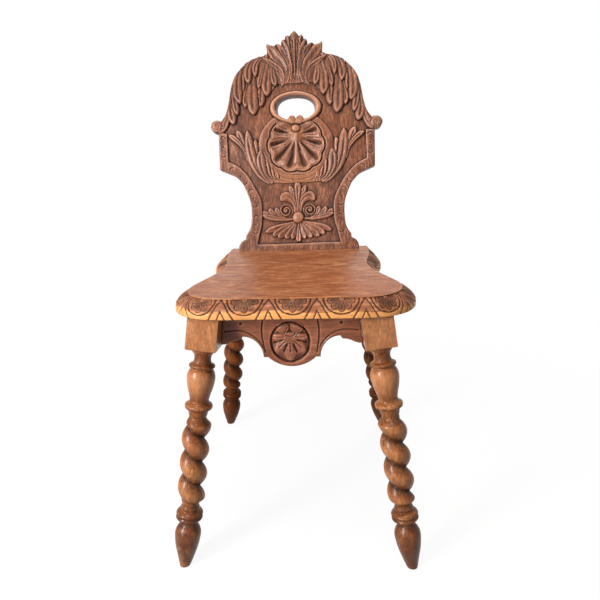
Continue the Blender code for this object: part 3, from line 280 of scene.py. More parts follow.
def makeWood(name, **changes):
    # Wood with its grain along the turned local Z axis. The mark "shadeAndGrime" of a mesh paints shade, with
    # some dirt, into its recesses, "crest" paints a highlight, with some polish and wear, on what stands
    # proud, and "warm" rubs it golden
    look = {**woodLook, **changes}
    material, tree, shader, coords = newMaterial(name)
    turned = addNode(tree, "ShaderNodeMapping", {"Vector": coords, "Rotation": look["grainTurn"]}).outputs[0]
    times = partial(mathNode, tree, "MULTIPLY")
    plus = partial(mathNode, tree, "ADD")
    mask = partial(maskOf, tree)

    def grain(scale, stretch, detail=4.0, distortion=0.0, roughness=0.55):
        pulled = addNode(tree, "ShaderNodeMapping", {"Vector": turned, "Scale": (1, 1, stretch)}).outputs[0]
        inputs = {"Vector": pulled, "Scale": scale, "Detail": detail, "Distortion": distortion,
                  "Roughness": roughness}
        return addNode(tree, "ShaderNodeTexNoise", inputs).outputs[0]

    def markOf(label):
        return addNode(tree, "ShaderNodeAttribute", attribute_name=label).outputs["Fac"]

    figure = grain(look["figureScale"], look["figureStretch"], 4.0, look["figureTwist"])
    streak = grain(look["streakScale"], look["streakStretch"], 5.0, 0.4, 0.6)
    blend = addNode(tree, "ShaderNodeMix", {0: look["streakShare"], 2: figure, 3: streak}).outputs[0]
    fibre = grain(look["fibreScale"], look["fibreStretch"], 3.0)
    pores = mask(grain(look["poreScale"], look["poreStretch"], 2.0, 0.0, 0.4), *look["poreCut"])
    # Worm holes: small dark dots, thinned out by a soft noise
    cells = addNode(tree, "ShaderNodeTexVoronoi", {"Vector": coords, "Scale": look["wormScale"]})
    few = times(mask(grain(look["wormPatch"], 1.0, 1.0), 0.50, 0.62), look["wormShare"])
    worm = times(mask(cells.outputs["Distance"], *look["wormRim"], 1, 0), few)
    # Feet, browner towards the floor, and worn through in places
    level = addNode(tree, "ShaderNodeSeparateXYZ", {0: coords}).outputs["Z"]
    low = addNode(tree, "ShaderNodeMapRange", {"Value": level, "From Min": look["footHeight"] * 0.6 - 0.01,
                                               "From Max": look["footHeight"] + 0.01,
                                               "To Min": look["footShare"], "To Max": 0.0}).outputs[0]
    scuffed = mask(grain(look["scuffScale"], 0.5, 5.0, 0.6, 0.62), 0.40, 0.54, 0.35, 1)
    grime = grain(look["grimeScale"], 0.5, 4.0)
    grimeMask = mask(grime, 0.3, 0.7, 0.65, 1)
    # Painted shade, with some dirt, in a mesh's recesses, made patchy by the grime noise
    shadeAndDirt = times(markOf("shadeAndGrime"), times(grimeMask, look["shadeAndDirtShare"]), True)
    tone = rampOf(tree, blend, [(place, linear(colour)) for place, colour in look["tones"]])
    # Each layer over the ones before it
    for share, layer in (
        (mask(grain(look["patchScale"], 0.6, 2.0), 0.35, 0.7, 0, look["patchShare"]), "patchTone"),
        (mask(grain(look["mottleScale"], 0.6, 3.0), 0.40, 0.58, look["mottleShare"], 0), "darkTone"),
        (mask(fibre, 0.42, 0.62, look["fibreShare"], 0), "darkTone"),
        (times(pores, look["poreShare"]), "poreTone"),
        (worm, "shadeAndDirtTone"),
        (times(low, scuffed), "footTone"),
        (times(markOf("warm"), look["warmShare"]), "warmTone"),
        # Painted highlight, with some polish, on what stands proud, then painted shade, with some dirt, in
        # the recesses
        (times(markOf("crest"), times(grimeMask, look["polishShare"]), True), "polishTone"),
        (shadeAndDirt, "shadeAndDirtTone"),
    ):
        tone = mixColour(tree, share, tone, linear(look[layer]))
    relief = plus(times(pores, -look["poreDepth"]), times(fibre, look["fibreDepth"]))
    relief = plus(relief, times(grain(look["toolScale"], 0.45, 2.0), look["toolShare"]))
    bump = addNode(tree, "ShaderNodeBump", {"Strength": look["bump"], "Distance": look["bumpDepth"],
                                              "Height": relief})
    gloss = mixColour(tree, shadeAndDirt, mask(grime, 0.25, 0.75, *look["roughness"]), grey(0.85))
    feed(tree, shader, {
        "Base Color": tone, "Roughness": gloss, "Specular IOR Level": look["specular"],
        "Coat Weight": look["coat"], "Coat Roughness": look["coatRoughness"], "Normal": bump.outputs[0],
    })
    return material


# What every wood starts from; tones are colours of the photograph, by the level of the grain
woodLook = {
    "grainTurn": (0, 0, 0), "figureScale": 30, "figureStretch": 0.14, "figureTwist": 0.8,
    "streakScale": 190, "streakStretch": 0.05, "streakShare": 0.6,
    "tones": ((0.41, (72, 40, 28)), (0.47, (118, 72, 52)), (0.53, (148, 96, 70)), (0.62, (186, 128, 98))),
    "patchTone": (164, 92, 48), "patchShare": 0.6,
    "patchScale": 9, "darkTone": (60, 32, 22), "mottleScale": 160, "mottleShare": 0.25,
    "fibreScale": 420, "fibreStretch": 0.05, "fibreShare": 0.6, "fibreDepth": 0.35,
    "poreScale": 900, "poreStretch": 0.035, "poreCut": (0.60, 0.68), "poreShare": 0.6, "poreDepth": 0.35,
    "poreTone": (44, 24, 17), "wormScale": 70, "wormRim": (0.07, 0.10), "wormPatch": 14, "wormShare": 0.8,
    # The next tones paint shade with some dirt, also in the worm holes, then a highlight with some polish
    "scuffScale": 48, "grimeScale": 70, "shadeAndDirtTone": (30, 13, 7), "shadeAndDirtShare": 1.0,
    "polishTone": (214, 158, 132), "polishShare": 0.55,
    "roughness": (0.30, 0.46), "specular": 0.32, "coat": 0.06, "coatRoughness": 0.22,
    "toolScale": 130, "toolShare": 0.6, "bump": 0.35, "bumpDepth": 0.0006,
    "footHeight": 0.0, "footTone": (76, 32, 4), "footShare": 0.0,
    "warmTone": (178, 118, 68), "warmShare": 0.6,
}
grainAcross = (0, math.radians(90), 0)
legLook = {
    "figureScale": 26, "figureStretch": 0.4, "streakScale": 120, "streakStretch": 0.12, "streakShare": 0.4,
    "tones": ((0.38, (122, 66, 28)), (0.47, (164, 102, 56)), (0.53, (182, 118, 68)), (0.64, (210, 148, 94))),
    "mottleScale": 210, "mottleShare": 0.5, "patchTone": (158, 84, 34), "patchShare": 0.7,
    "darkTone": (84, 42, 15), "polishTone": (222, 160, 112), "polishShare": 0.6, "shadeAndDirtTone": (34, 13, 3),
    "roughness": (0.30, 0.44), "specular": 0.16, "coat": 0.22, "coatRoughness": 0.2, "toolShare": 0.25,
    "fibreShare": 0.5, "poreShare": 0.55, "wormShare": 1.0, "footHeight": 0.14, "footShare": 0.85,
}
# A darker, less glossy copy of the leg wood for the rear legs, to paint the shade they stand in under the
# seat
shadedRearLegLook = {
    **legLook, "polishTone": (160, 96, 44), "specular": 0.10, "coat": 0.04, "roughness": (0.40, 0.52),
    "tones": ((0.41, (60, 26, 8)), (0.47, (94, 46, 15)), (0.53, (114, 58, 21)), (0.62, (142, 78, 32))),
}
woodBoard = makeWood("woodBoard")
# The seat's pale tone paints the highlight on the lip and the fascia's band of wear and highlight
woodSeat = makeWood(
    "woodSeat", grainTurn=grainAcross, figureScale=34, figureStretch=0.45, figureTwist=1.6,
    streakScale=260, streakStretch=0.12, streakShare=0.55, mottleScale=230, mottleShare=0.4,
    tones=((0.38, (122, 68, 38)), (0.47, (166, 104, 66)), (0.54, (194, 130, 88)), (0.62, (228, 166, 118))),
    patchTone=(178, 92, 40), patchShare=0.5, darkTone=(112, 60, 32), fibreShare=0.4,
    polishTone=(238, 168, 96), polishShare=0.85, toolShare=0.2, roughness=(0.34, 0.5), poreScale=700,
    wormShare=0.3)
woodLegs = makeWood("woodLegs", **legLook)
woodRearLegsShaded = makeWood("woodRearLegsShaded", **shadedRearLegLook)
# The apron's tones are darkened to paint the shade under the seat's overhang, over its own reddish brown
woodApronShaded = makeWood(
    "woodApronShaded", grainTurn=grainAcross, figureScale=40, figureStretch=0.4, streakScale=240, streakShare=0.4,
    tones=((0.40, (80, 38, 27)), (0.47, (114, 63, 44)), (0.54, (134, 78, 56)), (0.63, (160, 100, 75))),
    fibreShare=0.35, polishTone=(188, 124, 96))
woodFrame = makeWood(
    "woodFrame", grainTurn=grainAcross, roughness=(0.55, 0.75),
    tones=((0.41, (66, 38, 26)), (0.47, (96, 60, 42)), (0.53, (116, 76, 54)), (0.62, (138, 96, 70))))


def makeIron():
    material, tree, shader, coords = newMaterial("darkIron")
    spots = addNode(tree, "ShaderNodeTexNoise", {"Vector": coords, "Scale": 900.0, "Detail": 4.0}).outputs[0]
    colour = rampOf(tree, spots, ((0.35, linear((38, 32, 28))), (0.65, linear((92, 58, 38)))))
    bump = addNode(tree, "ShaderNodeBump", {"Strength": 0.3, "Distance": 0.0002, "Height": spots})
    gloss = maskOf(tree, spots, 0.3, 0.7, 0.5, 0.85)
    feed(tree, shader, {"Base Color": colour, "Metallic": 0.8, "Roughness": gloss, "Normal": bump.outputs[0]})
    return material


darkIron = makeIron()
for nodeName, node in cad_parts.items():
    node.data.materials.clear()
    isIron = "screw" in nodeName or "nail" in nodeName
    node.data.materials.append(darkIron if isIron else woodFrame)
print("materials ready")


# Carved panels

# How far round a point its level is averaged, in millimetres, to find the fine and the broad relief
markReaches = (1.6, 5.0)
# Rings of a panel's wall, as shares of the way to its back
wallShares = (0.12, 0.5, 0.93, 1.0)


def reliefMarks(height, cell):
    # Painted shade with some dirt where the relief is deep, painted highlight with some polish where it
    # stands proud
    near, wide = (blurred(height, int(round(reach / cell))) for reach in markReaches)
    shadeAndGrime = np.clip((near - height) / 0.9, 0, 1) * 0.75 + np.clip((wide - height) / 3.2, 0, 1) * 0.7
    crest = np.clip((height - near) / 0.7, 0, 1) * 0.7 + np.clip((height - wide) / 2.6, 0, 1) * 0.5
    return shadeAndGrime, crest


def panelGrid(loops, u, v, cell):
    # Whole cells of the grid that keep clear of the outline, and a finder for the nearest outline point
    tree = KDTree(sum(len(loop) for loop in loops))
    for a, b in (point for loop in loops for point in loop):
        tree.insert((a, b, 0), 0)
    tree.balance()
    inside = insideAll(loops, u, v)
    edge = np.zeros(u.shape)
    for row, column in zip(*np.nonzero(inside)):
        edge[row, column] = tree.find((u[row, column], v[row, column], 0))[2]
    deep = inside & (edge > 1.35 * cell)
    return deep[:-1, :-1] & deep[1:, :-1] & deep[:-1, 1:] & deep[1:, 1:], tree


def carvedPanel(name, panel, material):
    # A board with a relief on its face: a fine grid inside, joined to the outline and to the hole
    cell = panel["cell"]
    loops = [panel["outline"]] + panel["holes"]
    outer = np.array(panel["outline"])
    low = outer.min(axis=0) - cell
    high = outer.max(axis=0) + cell
    us = np.arange(low[0], high[0] + cell, cell)
    vs = np.arange(low[1], high[1] + cell, cell)
    u, v = np.meshgrid(us, vs)
    height = panel["heightAt"](u.ravel(), v.ravel()).reshape(u.shape)
    shadeAndGrime, crest = reliefMarks(height, cell)
    full, tree = panelGrid(loops, u, v, cell)
    # Points used by whole cells, then the seam between them and the outline
    used = np.zeros(u.shape, dtype=bool)
    for dr, dc in ((0, 0), (0, 1), (1, 0), (1, 1)):
        used[dr:used.shape[0] - 1 + dr, dc:used.shape[1] - 1 + dc] |= full
    number = np.full(u.shape, -1)
    number[used] = np.arange(used.sum())
    flat = list(zip(u[used], v[used]))
    faces = []
    for row, column in zip(*np.nonzero(full)):
        faces.append((int(number[row, column]), int(number[row, column + 1]),
                      int(number[row + 1, column + 1]), int(number[row + 1, column])))
    sides = set()
    for face in faces:
        for a, b in zip(face, face[1:] + face[:1]):
            sides ^= {(min(a, b), max(a, b))}
    rim = sorted({index for side in sides for index in side})
    place = {index: i for i, index in enumerate(rim)}
    points = [flat[index] for index in rim]
    edges = [(place[a], place[b]) for a, b in sides]
    starts = []
    for loop in loops:
        starts.append(len(points))
        edges += ringEdges(starts[-1], len(loop))
        points += loop
    seamPoints, sources, triangles, middles, keep = fillFlat(points, edges, loops, 0.0001)
    where = []
    for point, origin in zip(seamPoints, sources):
        if origin and min(origin) < len(rim):
            where.append(rim[min(origin)])
        else:
            where.append(len(flat))
            flat.append(tuple(point))
    columns = ((middles[0] - us[0]) / cell).astype(int).clip(0, full.shape[1] - 1)
    rows = ((middles[1] - vs[0]) / cell).astype(int).clip(0, full.shape[0] - 1)
    keep &= ~full[rows, columns]
    faces += [tuple(where[i] for i in face) for face, use in zip(triangles, keep) if use]
    flatU, flatV = np.array(flat).T
    gaps = np.array([tree.find((a, b, 0))[2] for a, b in flat])
    ease = panel["easeAt"](flatU, flatV)
    short = np.clip(ease - gaps, 0, ease)
    fine = panel["heightAt"](flatU, flatV) - (ease - np.sqrt(np.maximum(ease ** 2 - short ** 2, 0)))
    column = np.rint((flatU - us[0]) / cell).astype(int).clip(0, u.shape[1] - 1)
    row = np.rint((flatV - vs[0]) / cell).astype(int).clip(0, u.shape[0] - 1)
    shadeAndGrimeList = list(shadeAndGrime[row, column])
    # A painted highlight, with some wear, along the outline's edges; each place's share of highlight and wear
    # scales it all
    edgeHighlightAndWear = 0.7 * np.clip(1 - gaps / 2.0, 0, 1)
    crestList = list(np.maximum(crest[row, column], edgeHighlightAndWear) * panel["highlightAndWearAt"](flatU, flatV))
    local = [(a, -h, b) for (a, b), h in zip(flat, fine)]
    # Walls down to the back, with eased edges, and the flat back itself
    backLoops = []
    for loop, start in zip(loops, starts):
        ring = [None] * len(loop)
        for index, origin in zip(where, sources):
            for source in origin:
                if start <= source < start + len(loop):
                    ring[source - start] = index
        last = ring
        for share in wallShares:
            shrink = panel["backInset"](loop, panel["backEase"] if share == 1 else 0.0, share)
            fresh = list(range(len(local), len(local) + len(ring)))
            for (a, b), index in zip(shrink, ring):
                front = local[index][1]
                local.append((a, front + (panel["thickness"] - front) * share, b))
            # The walls get a little painted shade and the back's edge a little painted highlight
            shadeAndGrimeList += [0.15] * len(ring)
            crestList += [0.2 if share > 0.9 else 0.0] * len(ring)
            faces += [(last[a], last[b], fresh[b], fresh[a]) for a, b in ringEdges(0, len(ring))]
            last = fresh
        backLoops.append(last)
    backEdges = []
    backNames = []
    for ring in backLoops:
        backEdges += ringEdges(len(backNames), len(ring))
        backNames += ring
    rings = [[(local[index][0], local[index][2]) for index in ring] for ring in backLoops]
    backPoints = [point for ring in rings for point in ring]
    _, sources, triangles, _, keep = fillFlat(backPoints, backEdges, rings, 0.0001)
    names = [backNames[min(origin)] for origin in sources]
    faces += [tuple(names[i] for i in face) for face, use in zip(triangles, keep) if use]
    warm = np.append(panel["warmAt"](flatU, flatV), np.zeros(len(local) - len(flat)))
    return makeMesh(name, [panel["toWorld"](point) for point in local], faces, material,
                    {"shadeAndGrime": shadeAndGrimeList, "crest": crestList, "warm": warm})


def insetLoop(loop, inset):
    # The loop moved inwards, but left where it is in a tight notch; a hole's loop grows
    rows = np.array(loop)
    if inset == 0:
        return rows
    way = np.roll(rows, -1, axis=0) - np.roll(rows, 1, axis=0)
    way /= np.maximum(np.hypot(way[:, 0], way[:, 1]), 1e-9)[:, None]
    moved = rows + inset * np.stack((-way[:, 1], way[:, 0]), axis=1)
    closed = list(rows) + [rows[0]]
    tight = gapTo(closed, moved[:, 0], moved[:, 1]) < 0.93 * inset
    for turn in range(2):
        tight = tight | np.roll(tight, 1) | np.roll(tight, -1)
    return np.where(tight[:, None], rows, moved)


def leafHeight(leaf, u, v, cut):
    # A carved leaf: it rises from a narrow root to a rounded tip that stands over what lies under it, and
    # a groove is gouged beside its bent midrib; -1 outside
    points = list(zip(leaf[:-1:2], leaf[1::2]))
    width = leaf[-1]
    if len(points) == 3:
        t = np.linspace(0, 1, 17)[:, None]
        root, bend, tip = np.array(points)
        line = (1 - t) ** 2 * root + 2 * t * (1 - t) * bend + t ** 2 * tip
    else:
        line = np.array(curveThrough(points, 5))
    out = np.full(u.shape, -1.0)
    here = nearLine(line, width, u, v)
    pu = u[here]
    pv = v[here]
    best = np.full(pu.shape, np.inf)
    along = np.zeros(pu.shape)
    side = np.zeros(pu.shape)
    for i, (a, b) in enumerate(zip(line, line[1:])):
        s, gap = toStretch(a, b, pu, pv)
        turn = (b[0] - a[0]) * (pv - a[1]) - (b[1] - a[1]) * (pu - a[0])
        nearer = gap < best
        best = np.where(nearer, gap, best)
        along = np.where(nearer, (i + s) / (len(line) - 1), along)
        side = np.where(nearer, np.sign(turn), side)
    full = cut["full"]
    opening = cut["rootWidth"] + (1 - cut["rootWidth"]) * smooth(0, full, along)
    closing = np.maximum(1 - np.clip((along - full) / (1 - full), 0, 1) ** 2, 0) ** 0.6
    half = np.maximum(opening * closing, 0.04) * width / 2
    x = side * best / half
    groove = cut["groove"] * np.exp(-((x - cut["offset"]) / cut["cut"]) ** 2) * smooth(0.97, 0.78, along)
    section = np.sqrt(np.maximum(1 - np.minimum(np.abs(x), 1) ** 2.4, 0)) * (1 - groove) + cut["tilt"] * x
    rise = cut["rootLift"] + (1 - cut["rootLift"]) * smooth(0.0, 0.8, along)
    out[here] = np.where(np.abs(x) < 1, np.maximum(cut["height"] * rise * section, 0.01), -1.0)
    return out


def raised(field, base, lift):
    return np.where(lift > 0, np.maximum(field, base + lift), field)


def domeHeight(u, v, cu, cv, radius, height, power=2.0):
    gap = np.hypot(u - cu, v - cv) / radius
    return np.where(gap < 1, height * np.sqrt(np.maximum(1 - gap ** power, 0)), -1.0)


def stroke(gap, width, depth):
    # Depth of a narrow V-groove at a distance from its middle
    return depth * np.clip(1 - gap / (width / 2), 0, 1) ** 0.8


def cutLine(field, line, width, depth, u, v):
    here = nearLine(line, width, u, v)
    out = field.copy()
    out[here] = field[here] - stroke(gapTo(line, u[here], v[here]), width, depth)
    return out


def scooped(field, gap, depth):
    # A round-bottomed hollow, with its edge where the gap is 1
    return np.where(gap < 1, field - depth * (1 - gap ** 2), field)


def spiralLine(gap, turn, pitch, start, width):
    # 1 along a spiral round a centre, soft to both sides
    return np.exp(-((np.mod(gap / pitch - turn + start, 1) - 0.5) / width) ** 2)


def arcLine(cu, cv, ru, rv, start, end, count=18):
    angles = np.radians(np.linspace(start, end, count))
    return [(cu + ru * math.cos(a), cv + rv * math.sin(a)) for a in angles]


# The carved back board, in millimetres across and up its own leaning face

board = {
    "lean": 12.15, "thickness": 27.0, "frontFromRear": 34.5,
    "ground": -5.5, "border": -0.6, "crest": -2.6, "foliage": -3.4, "spray": -2.6, "crestLevel": 352,
    "crestRoot": 26, "footRail": (15.4, 14.0), "shoulderRim": (8.2, 6.8), "shoulderLevel": 262,
    "bandRise": 2.6, "bandBase": -3.6, "bandEase": 9, "strapLevels": (149.5, 159),
    "strapArc": (66, 60, 270, 308),
    # Width and depth of the knife cuts, and the arcs' radius and half of their sweep
    "strapCut": (3.0, 1.2), "crestCut": (2.6, 2.8), "arcCut": (2.9, 2.2), "arcRadius": 6.0, "arcShift": 3.5,
    "arcHalf": 62, "dotRadius": 2.2, "dotDepth": 2.4,
    "earDome": 5.0, "earBase": -2.5, "earPitch": 8.0, "earGroove": 1.2, "strapRise": 3.4, "strapBase": -1.4,
    "reach": 183.5, "rise": 455.5, "earRadius": 13.2, "earLevel": 267.5,
    "foot": ((131, 0), (131, 7.3), (129, 14), (124, 20.5), (115, 26)),
    "sweep": ((114.5, 33.6), (111, 38), (105.7, 46.7), (102.4, 57), (100.8, 72), (100.4, 86), (101.5, 101.5),
              (105.2, 115), (111, 130), (117, 143), (125.8, 154), (135.6, 162.5), (150, 169), (166.5, 176)),
    "sideTop": (166.5, 252.5),
    "shoulder": ((161, 278.5), (155.3, 283.3), (150.3, 291.3), (146.3, 302), (142.6, 315.3), (140.3, 330),
                 (137.4, 344.6), (133.4, 357.3), (128.6, 368), (122, 377.3), (113.3, 387), (104.7, 394.3),
                 (93.3, 401.3), (80, 406.3), (65.3, 409), (57.7, 412.6)),
    "crestEdge": ((58, 420), (59, 428), (57.8, 432.2), (51.7, 428.8), (43, 428.4), (38, 431.8), (33, 431.3),
                  (27.8, 428.2), (27.6, 434), (24.6, 439.9), (20, 440.6), (19, 445), (14.7, 448.6),
                  (10.2, 446.6), (8.5, 449), (4.5, 453.6)),
    "crestCuts": (((3.0, 438), (2.4, 395), (0.6, 358)), ((7.0, 432), (4.8, 404), (2.6, 362))),
    "borderEdge": ((90.5, 15), (86.5, 34), (81, 54), (78.5, 72), (78, 90), (80.5, 111), (90, 132.5),
                   (104, 156.5), (121, 176.5), (137.5, 187), (148.4, 191), (148.4, 252)),
    "band": ((0, 142.5), (36, 148), (56, 160), (70, 176), (78, 195), (81, 215), (80, 231), (76, 247),
             (64.6, 265), (50, 279), (30, 290)),
    "earStrap": (140.5, 322, 144, 262, 168, 257.5, 15),
    # Place of each arc cut in the border and the way its hollow looks in degrees, then the dots between
    "arcs": ((157, 243, 90), (157.5, 205, -90), (141, 177, 60), (112, 147, -130), (101, 130, 60),
             (92.5, 97, -95), (90, 74, 90), (94, 40, -80)),
    "dots": ((157, 224), (122, 161), (96, 113), (91.5, 57)),
}
flower = {"curlAcross": 25, "curlLevel": 86, "curlRadius": 13.8, "curlPitch": 6.6, "curlStart": 0.85,
          "curlFloor": -5.0, "curlRise": 5.0, "eyeRadius": 4.0, "eyeRise": 3.6, "moat": -3.8,
          "buttonLevel": 71, "buttonRadius": 11.5, "buttonRise": 6.2, "buttonBase": -2.0}
# Each leaf: root, bend and tip of its midrib, then its width, from the lowest layer to the top one
hangingLeaves = (
    (136, 335, 142, 300, 131, 271, 22), (133, 352, 130, 318, 122.5, 289.5, 16),
    (100, 352, 106, 328, 105, 303.5, 14), (70, 352, 74, 332, 73, 304.5, 19),
    (90, 366, 92, 330, 87.5, 288, 27), (66, 392, 74, 366, 76.5, 342, 12), (110, 392, 114, 362, 110, 335, 15),
    (52, 400, 63, 362, 59.5, 326.5, 24), (112, 396, 131, 346, 115.5, 313, 24),
    (84, 405, 104, 386, 97, 353, 20), (66, 407, 86, 400, 83, 366, 14), (46, 396, 49, 368, 40.5, 346.5, 16),
)
crestLeaves = (
    (24, 346, 19, 376, 26, 395, 42, 413, 58, 432, 24), (20, 346, 12, 374, 10, 392, 18, 412, 37, 432, 17),
    (29, 340, 24.5, 364, 30, 380, 45, 392, 67, 405, 12),
)
slimLeaves = (
    (9, 354, 6.5, 380, 7, 398, 12, 417, 24, 440.5, 12), (3, 358, 3.5, 388, 6, 418, 14.7, 449, 10),
    (0, 356, 0, 410, 0, 456, 19),
)
sprayLeaves = (
    (104, 196, 112, 233, 125, 257, 17), (104, 200, 118, 238, 145, 248, 12), (68, 154, 96, 185, 85, 237, 16),
    (62, 149, 100, 168, 102, 256, 23), (34, 148, 46, 151, 43, 166, 11), (42, 148, 57, 155, 56, 177, 13),
    (49, 149, 68, 160, 64, 190, 15), (56, 149, 83, 166, 76, 214, 22),
)
sideLeaves = (
    (30, 72, 46, 76, 46, 93, 14), (36, 70, 58, 74, 61, 91.5, 14), (44, 70, 68, 72, 75, 86, 13),
    (12, 68, 44, 66, 78, 77.5, 12),
)
fanLeaves = (
    (10, 62, 38, 55, 72, 41, 13), (9, 62, 34, 50, 56, 33, 14), (7, 61, 24, 47, 43.5, 28.5, 16),
    (5, 61, 15, 44, 27.5, 26.5, 14), (3, 61, 8, 42, 13.5, 25, 11), (0, 61, 0, 40, 2, 18, 9.5),
)
stemLeaves = (
    (3, 88, 8, 118, 18, 137, 12), (5, 82, 7, 98, 14, 110, 26, 115, 37, 107, 20), (0, 82, 0, 115, 3, 143, 14),
)
leafCuts = {
    "hanging": {"height": 8.0, "groove": 0.42, "cut": 0.24, "offset": 0.06, "tilt": 0.16, "rootWidth": 0.60,
                "rootLift": 0.40, "full": 0.68},
    "crest": {"height": 6.6, "groove": 0.50, "cut": 0.44, "offset": -0.22, "tilt": 0.10, "rootWidth": 0.46,
              "rootLift": 0.60, "full": 0.74},
    "slim": {"height": 6.4, "groove": 0.30, "cut": 0.35, "offset": -0.45, "tilt": 0.0, "rootWidth": 0.20,
             "rootLift": 0.60, "full": 0.78},
    "spray": {"height": 6.8, "groove": 0.42, "cut": 0.20, "offset": -0.12, "tilt": -0.12, "rootWidth": 0.50,
              "rootLift": 0.55, "full": 0.74},
    "flower": {"height": 5.6, "groove": 0.36, "cut": 0.30, "offset": 0.20, "tilt": 0.18, "rootWidth": 0.34,
               "rootLift": 0.60, "full": 0.76},
    "fan": {"height": 5.4, "groove": 0.26, "cut": 0.50, "offset": -0.15, "tilt": 0.22, "rootWidth": 0.30,
            "rootLift": 0.62, "full": 0.80},
}
foliageMass = ((22, 351), (38, 352), (50, 338), (58, 334), (68, 346), (70, 322), (74, 312), (80, 300),
               (88, 296), (98, 308), (104, 312), (112, 322), (122, 310), (128, 296), (136, 280), (146, 300),
               (134, 357), (113, 388), (80, 407), (58, 413), (40, 405))
sprayMass = ((0, 142.5), (30, 144), (60, 148), (85, 163), (98, 178), (104, 190), (107, 205), (98, 240),
             (86, 226), (76, 200), (62, 180), (40, 164), (0, 158))
holeOval = {"across": 42.6, "up": 26.0, "level": 301.6, "ringWidth": 9.8, "voluteRadius": 8.2,
            "voluteAcross": 8.2, "voluteLevel": 277.0,
            "voluteRise": 3.6, "volutePitch": 4.4, "voluteGroove": 0.9, "ringTop": 2.2, "ringFall": 4.6,
            # Level, radii and depth of the cut under the ring, then of the bud that stands in it
            "budCut": (258, 11.5, 10.5, 2.6), "bud": (259.5, 9.6, 7.6, 5.4), "points": 180, "backShare": 0.93}
shell = {
    "level": 222, "hinge": 243, "radius": 58.5, "rim": 4.2,
    "scallop": ((0.0, 0.865), (0.04, 0.915), (0.10, 0.960), (0.155, 0.955), (0.20, 0.915), (0.25, 0.985),
                (0.31, 1.025), (0.36, 1.005), (0.40, 0.955), (0.46, 1.01), (0.53, 1.03), (0.58, 1.00),
                (0.61, 0.965), (0.66, 1.02), (0.72, 1.035), (0.79, 1.02), (1.0, 1.0)),
    "gouges": ((5, 212, 16.5, 181, 13.5), (11, 228, 43, 195, 12.5), (22, 233, 52, 227, 10.5),
               (17, 250, 42, 256, 11)),
    "ripples": (((24, 240), (38, 239), (53, 236)), ((23, 227), (37, 221), (50, 216)), ((19, 244), (40, 246)),
                ((19, 257), (30, 261), (38, 266)), ((12, 236), (24, 225)), ((4, 226), (8, 213))),
    "ribs": (0, 0.075, 0.15, 0.225, 0.31, 0.39, 0.49, 0.60, 0.72, 1.0), "ribRise": 3.6,
    "floor": -0.8, "bowl": 5.6, "gougeDepth": 2.9, "rippleCut": (3.2, 1.5), "hubRise": 3.0,
    "hubRun": (176, 232), "moatGap": 2.8, "moatHalf": 2.1, "moatDepth": 3.0, "moatTop": 270,
}
# Layers of leaves, each over the ones before it: cuts, leaves, what they spring from and how far over it
carvedLayers = (
    ("spray", sprayLeaves, "ground", 0.2), ("hanging", hangingLeaves, "ground", -0.2),
    ("flower", sideLeaves, "ground", 0), ("fan", fanLeaves, "ground", 0),
    ("flower", stemLeaves, "ground", 0), ("crest", crestLeaves, "crest", -2.2),
    ("slim", slimLeaves, "crest", -2.2),
)


def boardOutline():
    ear = (board["reach"] - board["earRadius"], board["earLevel"], board["earRadius"], board["earRadius"])
    right = evenSteps(curveThrough(board["foot"], 5), 1.2) + evenSteps(curveThrough(board["sweep"], 8), 1.2)
    right += evenSteps([board["sweep"][-1], board["sideTop"]], 1.2)[1:] + arcLine(*ear, -105, 128, 46)
    right += evenSteps(curveThrough(board["shoulder"], 6), 1.2)
    right += evenSteps(curveThrough(board["crestEdge"], 5), 0.9)
    return right + [(0.0, board["rise"])] + [(-a, b) for a, b in reversed(right) if a > 0.01]


def holeLoop():
    # Clockwise, with the two volutes of the ring standing up into it
    points = []
    for i in range(holeOval["points"]):
        a = -math.tau * i / holeOval["points"]
        across = holeOval["across"] * math.copysign(abs(math.cos(a)) ** 0.9, math.cos(a))
        up = holeOval["level"] + holeOval["up"] * math.copysign(abs(math.sin(a)) ** 0.9, math.sin(a))
        if up < holeOval["level"]:
            rest = holeOval["voluteRadius"] ** 2 - (abs(across) - holeOval["voluteAcross"]) ** 2
            if rest > 0:
                up = max(up, holeOval["voluteLevel"] + math.sqrt(rest))
        points.append((across, up))
    return points


def holeShare(u, v):
    # 1 on the edge of the hand hole
    return np.hypot(u / holeOval["across"], (v - holeOval["level"]) / holeOval["up"])


def polarAt(u, v, cu, cv):
    # Distance from a centre, and the way round it in turns
    return np.hypot(u - cu, v - cv), np.arctan2(v - cv, u - cu) / math.tau


def gougeDepth(u, v, gouge):
    # A drop-shaped hollow: a fine start, a wide round end; 1 at its deepest
    t, gap = toStretch(gouge[:2], gouge[2:4], u, v)
    gap = gap / (gouge[4] / 2 * (0.35 + 0.65 * smooth(0, 0.9, t)))
    return np.maximum(1 - gap ** 2, 0) ** 1.3 * (0.35 + 0.65 * smooth(0, 0.7, t))


